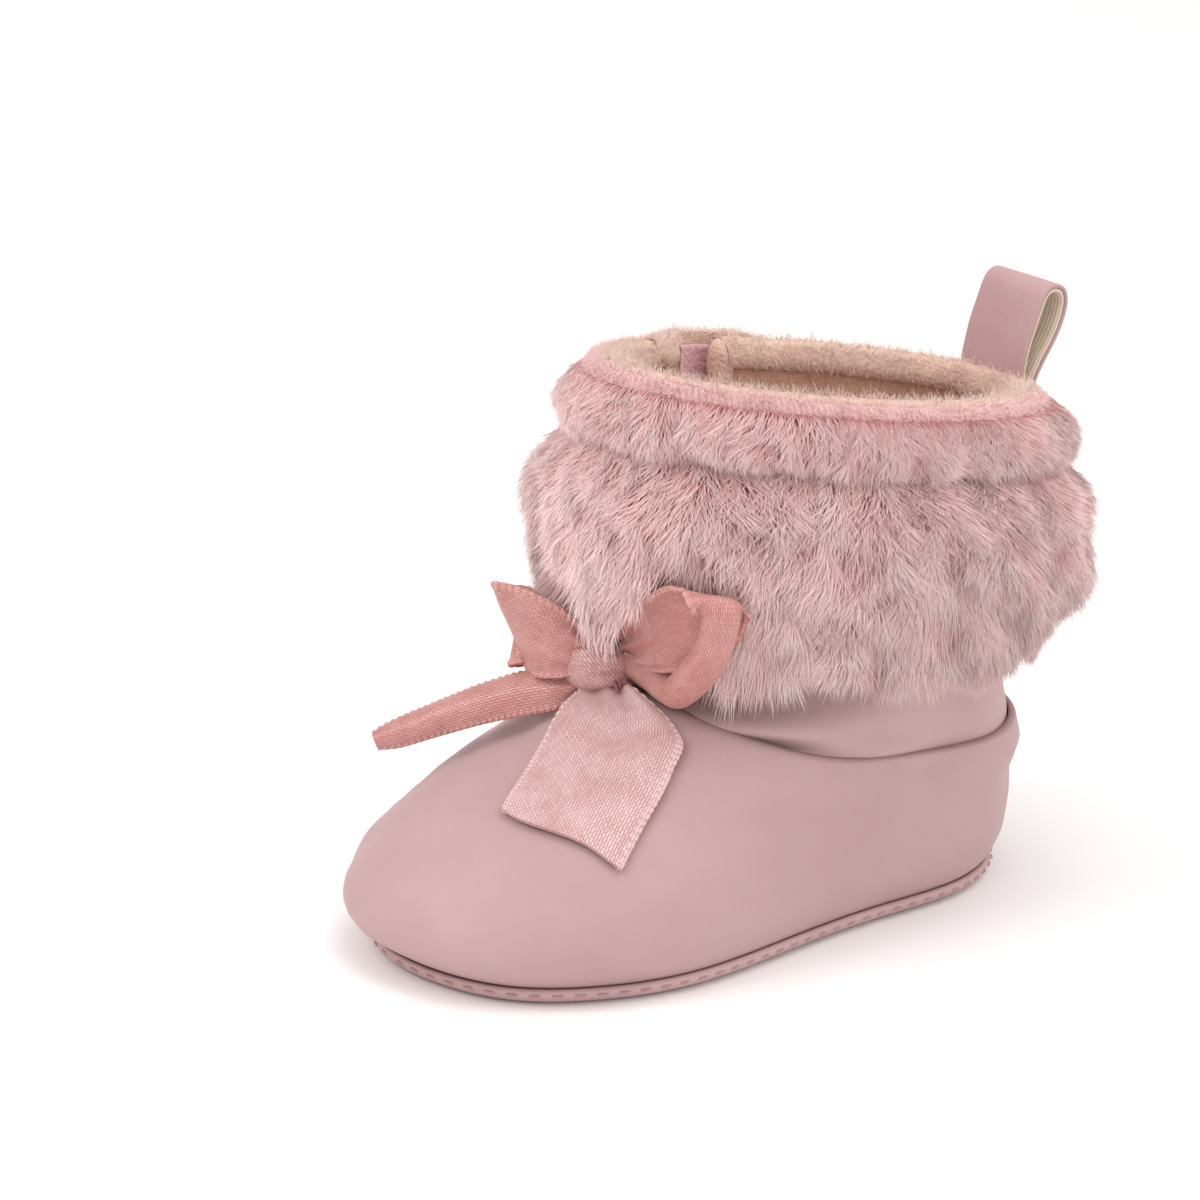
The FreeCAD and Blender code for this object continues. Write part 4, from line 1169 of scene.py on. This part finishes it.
def fibre_mesh(name, body, zones, material=FUR_LOOK, slot="faux_fur"):
    """One mesh of tapered three-sided fibres, from pairs of a zone's Fibres and the chosen ones of them."""
    root, bend, tip, side, thick, bright, soft = (
        np.concatenate([getattr(fibres, field)[chosen] for fibres, chosen in zones])
        for field in ("root", "bend", "tip", "along", "thick", "bright", "soft"))
    low, high = np.concatenate([np.full((len(chosen), 2), fibres.tone) for fibres, chosen in zones]).T
    count = len(root)
    soft = unit(soft)
    depth = unit(np.cross(unit(tip - root), side))
    side = unit(np.cross(depth, unit(tip - root)))
    points = np.zeros((count, 10, 3))
    normals = np.zeros((count, 10, 3))
    tone = np.zeros((count, 10))
    for ring, (t, taper) in enumerate(zip(STEPS, TAPER)):
        middle = root * (1 - t) ** 2 + bend * 2 * t * (1 - t) + tip * t**2
        for corner in range(3):
            angle = 2 * math.pi * corner / 3
            swing = side * math.cos(angle) + depth * math.sin(angle)
            points[:, ring * 3 + corner] = middle + swing * (thick * taper)[:, None]
            normals[:, ring * 3 + corner] = unit(soft + FIBRE_ROUND * swing)
            tone[:, ring * 3 + corner] = (low + (high - low) * t**0.9) * bright
    points[:, 9] = tip
    normals[:, 9] = soft
    tone[:, 9] = high * bright
    pattern = []
    for ring in range(2):
        for corner in range(3):
            a, b = ring * 3 + corner, ring * 3 + (corner + 1) % 3
            pattern.append((a, b, b + 3, a + 3))
    spikes = [(6, 7, 9), (7, 8, 9), (8, 6, 9), (2, 1, 0)]
    start = (np.arange(count) * 10)[:, None]
    loops = start + np.concatenate([np.ravel(pattern), np.ravel(spikes)])
    sizes = np.tile(np.array([4] * 6 + [3] * 4), count)
    mesh = bpy.data.meshes.new(name)
    mesh.vertices.add(count * 10)
    mesh.vertices.foreach_set("co", (points * MM).astype(np.float32).ravel())
    mesh.loops.add(loops.size)
    mesh.loops.foreach_set("vertex_index", loops.astype(np.int32).ravel())
    mesh.polygons.add(len(sizes))
    mesh.polygons.foreach_set("loop_start", np.concatenate([[0], np.cumsum(sizes)[:-1]]).astype(np.int32))
    mesh.update(calc_edges=True)
    mesh.shade_smooth()
    # Light meets a pile as one soft surface, so the fibres are shaded mostly by its direction.
    mesh.attributes.new("custom_normal", "FLOAT_VECTOR", "POINT").data.foreach_set(
        "vector", normals.astype(np.float32).ravel())
    mesh.attributes.new("tone", "FLOAT", "POINT").data.foreach_set("value", tone.astype(np.float32).ravel())
    # Colour depends on the tone alone, so every fibre may share one small strip of texture.
    across = np.tile(np.array([0.1, 0.5, 0.9] * 3 + [0.5]), (count, 1))
    strip = np.stack([0.02 + 0.96 * tone, across], -1)
    texture = mesh.uv_layers.new(name="OFBake")
    texture.data.foreach_set("uv", strip.reshape(-1, 2)[loops.ravel()].astype(np.float32).ravel())
    finish_piece(name, mesh, body, slot, material)


def undercoat(name, body, node, band, low, high, pile, share_of_pile, rows):
    """The dense lower part of the pile: a closed, lumpy band under the fibres."""
    columns = 240
    z, share = np.broadcast_arrays(np.linspace(low, high, rows)[:, None], np.linspace(0, 1, columns))
    base = band(share, z, FUR_BASE - 0.3)
    thick = smooth(pile, z, 1) * share_of_pile
    probe = band(share, z, FUR_BASE + thick)
    thick = thick * (0.5 + 0.5 * ease(low, low + 12.0, z))
    thick = np.clip(thick, 0.6, np.maximum(bow_room(probe) + thick - 1.0, 0.7))
    ends = ease(0.0, 0.012, share) * ease(0.0, 0.012, 1 - share)
    edges = np.sqrt(np.clip(1 - (np.abs(2 * (z - low) / (high - low) - 1)) ** 6, 0, 1))
    lumps = 1 + 0.12 * waves(base, 6.0, 41) + 0.08 * waves(base, 2.5, 42)
    thick = thick * lumps * (0.35 + 0.65 * ends) * edges
    outer = band(share, z, FUR_BASE + thick)
    grid = np.concatenate([base, outer[::-1]])
    add_piece(name, body, "faux_fur", UNDER_LOOK, grid, band_faces(2 * rows, columns), [node])


def cuff_droop(z):
    return 5.6 - 4.2 * ease(60.0, 77.0, z)


def roll_droop(z):
    return 2.6 - 1.0 * ease(78.0, 85.0, z)


# Cross-sections of the rim's strips: distance out from the last, height over the rim of the leather.
FACING_SECTION = ((-1.3, -3.5), (-1.9, -4.0), (-2.6, -4.0), (-3.25, -3.5), (-3.6, -2.7), (-3.65, -1.6),
                  (-3.2, -0.3), (-2.5, 0.5), (-1.5, 1.0), (-0.4, 1.05), (0.4, 0.8), (0.7, 0.35), (0.2, 0.12),
                  (-1.0, 0.08), (-1.25, -1.0))
LEG_SECTION = ((-1.3, -11.0), (-1.7, -11.3), (-2.3, -11.1), (-2.55, -10.4), (-2.4, -9.6), (-2.3, -8.0),
               (-2.2, -5.4), (-2.1, -3.5), (-1.8, -3.1), (-1.4, -3.1), (-1.25, -5.0), (-1.25, -9.0))
EDGE_SECTION = ((0.2, 0.0), (0.6, 0.3), (1.3, 0.4), (2.1, 0.1), (2.7, -0.6), (3.1, -1.5), (3.2, -2.3),
                (2.9, -2.9), (2.2, -3.1), (1.5, -2.6), (1.4, -0.8))
FACING_INSIDE, FACING_CREST, EDGE_FACE = FACING_SECTION[3:8], FACING_SECTION[6:11], EDGE_SECTION[1:7]
RIB = 0.95              # distance between two ribs of the cropped edge


def strip(name, body, band, section, columns, material, slot, lumps, replaces=(), shorten=None, rib=0.0):
    """Closed strip along a band. shorten is, for every column, how much of the inner leg is left."""
    line = spline(section, 64, closed=True)
    share = np.linspace(0, 1, columns)
    out, height = line[:, 0][:, None], line[:, 1][:, None]
    if shorten is not None:
        out = np.where(out < -1.3, -1.3 + (out + 1.3) * shorten, out)
        height = np.where(height < -1.0, -1.0 + (height + 1.0) * shorten, height)
    z = RIM_Z + height + np.zeros(columns)
    out = out + np.zeros(columns)
    base = band(share, z, out)
    way = way_along(base[0])
    ridge = np.sin(2 * math.pi * way / RIB + 0.6 * np.sin(way / 7.0))[None] + np.zeros(out.shape)
    outward = ease(-1.25, 0.0, np.abs(out + 1.25) - 1.25)
    swell = rib * ridge + lumps * (waves(base, 8.0, 71) + 0.6 * waves(base, 2.6, 72)) * outward
    grid = band(share, z + swell * np.clip(height + 0.6, 0, 1), out + swell * np.sign(out + 1.25))
    faces = turned(band_faces(len(line), columns))
    add_piece(name, body, slot, material, grid, faces, replaces, {"rib": 0.5 + 0.5 * ridge})


def make_rim():
    """The facing's thick rounded edge, and outside it the cropped edge of the pile."""
    y = flap_y(np.linspace(0, 1, 150))
    leg = (1 - ease(8.0, 12.5, y)) * (0.35 + 0.65 * ease(1.0, 4.0, y))
    strip("facing_roll", "boot", whole_band, FACING_SECTION, 700, FACING_LOOK, "lining_knit", 0.16,
          ["rim_facing"])
    strip("facing_leg", "boot", whole_band, LEG_SECTION, 500, KNIT_LOOK, "lining_knit", 0.1)
    strip("flap_facing_roll", "flap", flap_band, FACING_SECTION, 150, FACING_LOOK, "lining_knit", 0.1,
          ["flap_facing"], shorten=leg)
    strip("cropped_edge", "boot", fixed_band, EDGE_SECTION, 1300, EDGE_LOOK, "faux_fur", 0.14, rib=0.055)
    strip("flap_cropped_edge", "flap", flap_band, EDGE_SECTION, 240, EDGE_LOOK, "faux_fur", 0.14, rib=0.055)
    naps = [Nap(band, section, int(count * FULL), seed, length, radius, lie)
            for band, section, count, seed, length, radius, lie in (
                (whole_band, FACING_INSIDE, 7000, 81, 0.75, 0.045, 0.7),
                (whole_band, FACING_CREST, 4200, 82, 1.1, 0.04, 0.6),
                (flap_band, FACING_CREST, 700, 84, 1.1, 0.04, 0.6))]
    for name, body, chosen in (("facing_nap", "boot", naps[:2]), ("flap_facing_nap", "flap", naps[2:])):
        fibre_mesh(name, body, [(nap, nap.order) for nap in chosen], NAP_LOOK, "lining_knit")


def make_slit_roll():
    """The end of the facing, turned down and rolled over the raw edges beside the side opening."""
    rows, columns = 90, 32
    z = np.linspace(SLIT_BOTTOM + 0.6, RIM_Z + 0.9, rows)[:, None]
    angle = np.linspace(0, 2 * math.pi, columns, endpoint=False)[None]
    rounding = np.sqrt(1 - (1 - np.clip((RIM_Z + 0.95 - z) / 3.2, 0, 1)) ** 2)
    size = rounding * (0.66 + 0.34 * ease(70.0, 83.0, z))
    y = SLIT_END_Y + 0.7 + 1.9 * size * np.cos(angle)
    out = -1.0 + 2.5 * size * np.sin(angle)
    u = side_u(y, z)
    points = tilted(u, z, out)
    points = tilted(u, z, out + 0.16 * waves(points, 5.0, 75) * size)
    add_piece("facing_end_roll", "boot", "lining_knit", FACING_LOOK, points, tube_faces(rows, columns))


def make_hook_patch():
    """Fuzzy patch on the flap's inner face. Its front part shows inside the rim, where the flap leaves the
    lining."""
    y, z = np.meshgrid(np.linspace(11.6, 30.4, 60), np.linspace(52.0, 85.6, 80), indexing="ij")
    u = side_u(y, z)
    fuzz = 0.07 * waves(np.stack([y, z, y * 0], -1), 1.3, 91)
    low_z, face = z - corner_drop(y, z), lift(y) - LINING
    inner = tilted(u, low_z, face - 0.72 - fuzz)
    outer = tilted(u, low_z, face + 0.05)
    middle = (inner + outer) / 2
    points, faces = slab(middle, np.linalg.norm(outer - inner, axis=-1))
    add_piece("hook_patch", "flap", "closure_tape", HOOK_LOOK, points, faces, ["hook_tape"])


def make_groove_threads():
    """Stitches in the groove between the two heights of fur."""
    share = np.linspace(0.004, 0.996, 900)
    z = (CUFF_PILE[-1][0] + ROLL_PILE[0][0]) / 2
    line, above = fixed_band(share, z, FUR_BASE + 1.4), fixed_band(share, z, FUR_BASE + 3.4)
    row_of_stitches("groove_threads", "cuff_groove_stitches", line, unit(above - line), 4.0, 2.6, 0.4,
                    GROOVE_THREAD)


CUFF_TOP, ROLL_BOTTOM = 77.2, 77.9      # the groove between the two heights of fur


def make_fur(label, body, band, share, node, roll_node):
    """All the fur of one body. share is how many fibres it has, of the cuff's."""
    undercoat(f"{label}_undercoat", body, node, band, 47.4, CUFF_TOP, CUFF_PILE, 0.42, 30)
    undercoat(f"{label}_roll_undercoat", body, roll_node, band, ROLL_BOTTOM, 84.6, ROLL_PILE, 0.55, 14)
    cuff, roll, edge = (int(count * share * FULL) for count in (84000, 27000, 12000))
    piles = (Pile(band, 47.2, CUFF_TOP, CUFF_PILE, cuff, 101, cuff_droop, 1.0, 0.085, extra=1.0),
             Pile(band, ROLL_BOTTOM, 85.9, ROLL_PILE, roll, 202, roll_droop, 1.04, 0.075),
             Nap(band, EDGE_FACE, edge, 303, 0.7, 0.05, 0.4, tone=(0.2, 0.9)))
    parts = math.ceil(sum(len(pile.order) for pile in piles) / PER_PIECE)
    for part in range(parts):
        zones = [(pile, pile.order[len(pile.order) * part // parts:len(pile.order) * (part + 1) // parts])
                 for pile in piles]
        fibre_mesh(f"{label}_fibres_{part + 1}", body, zones)


make_rim()
make_slit_roll()
make_hook_patch()
make_groove_threads()
make_fur("cuff", "boot", fixed_band, 1.0, "fur_cuff", "fur_rim_roll")
make_fur("flap", "flap", flap_band, 0.17, "flap_fur_cuff", "flap_fur_roll")


# ---- floor, light and camera ----
CAMERA_FROM = Vector((0.5302, -0.4068, 0.2579))
CAMERA_TO_RIGHT = Vector((0.5767, 0.8158, 0.0442))
CAMERA_TO_TOP = Vector((-0.2662, 0.1365, 0.9542))
LENS = 129.6
SENSOR = 36.0
LIT_POINT = Vector((0, 0, 0.04))       # metres, as all of this section


def make_stage():
    bpy.ops.mesh.primitive_plane_add(size=6.0, location=(0, 0, 0))
    floor = bpy.context.object
    floor.name = "studio_floor"
    floor.data.materials.append(plain_look("studio_floor", 0.7, 0.15, 300.0, 1.0,
                                           (0.4, (0.93, 0.925, 0.92, 1)), (0.6, (0.95, 0.945, 0.94, 1))))
    world = bpy.data.worlds.new("studio")
    bpy.context.scene.world = world
    world.use_nodes = True
    sky = world.node_tree.nodes["Background"]
    sky.inputs["Color"].default_value = (1.0, 0.985, 0.98, 1.0)
    sky.inputs["Strength"].default_value = 0.93
    for name, place, size, power, colour in (
            ("key", (-0.15, -0.95, 1.0), 0.6, 4.9, (1.0, 0.975, 0.96)),
            ("top", (0.25, 0.1, 1.15), 0.8, 3.8, (1.0, 0.985, 0.975)),
            ("fill", (1.1, 0.6, 0.7), 0.9, 2.6, (1.0, 0.975, 0.975))):
        light = put_in_scene(name, bpy.data.lights.new(name, "AREA"))
        light.data.size = size
        light.data.energy = power
        light.data.color = colour
        light.location = place
        light.rotation_euler = (LIT_POINT - Vector(place)).to_track_quat("-Z", "Y").to_euler()
    bpy.context.scene.view_settings.view_transform = "Standard"


def make_camera():
    camera = put_in_scene("camera", bpy.data.cameras.new("camera"))
    camera.data.lens = LENS
    camera.data.sensor_width = SENSOR
    camera.data.clip_end = 10.0
    axes = Matrix((CAMERA_TO_RIGHT, CAMERA_TO_TOP, CAMERA_TO_RIGHT.cross(CAMERA_TO_TOP)))
    camera.matrix_world = Matrix.Translation(CAMERA_FROM) @ axes.transposed().to_4x4()
    bpy.context.scene.camera = camera


make_stage()
make_camera()
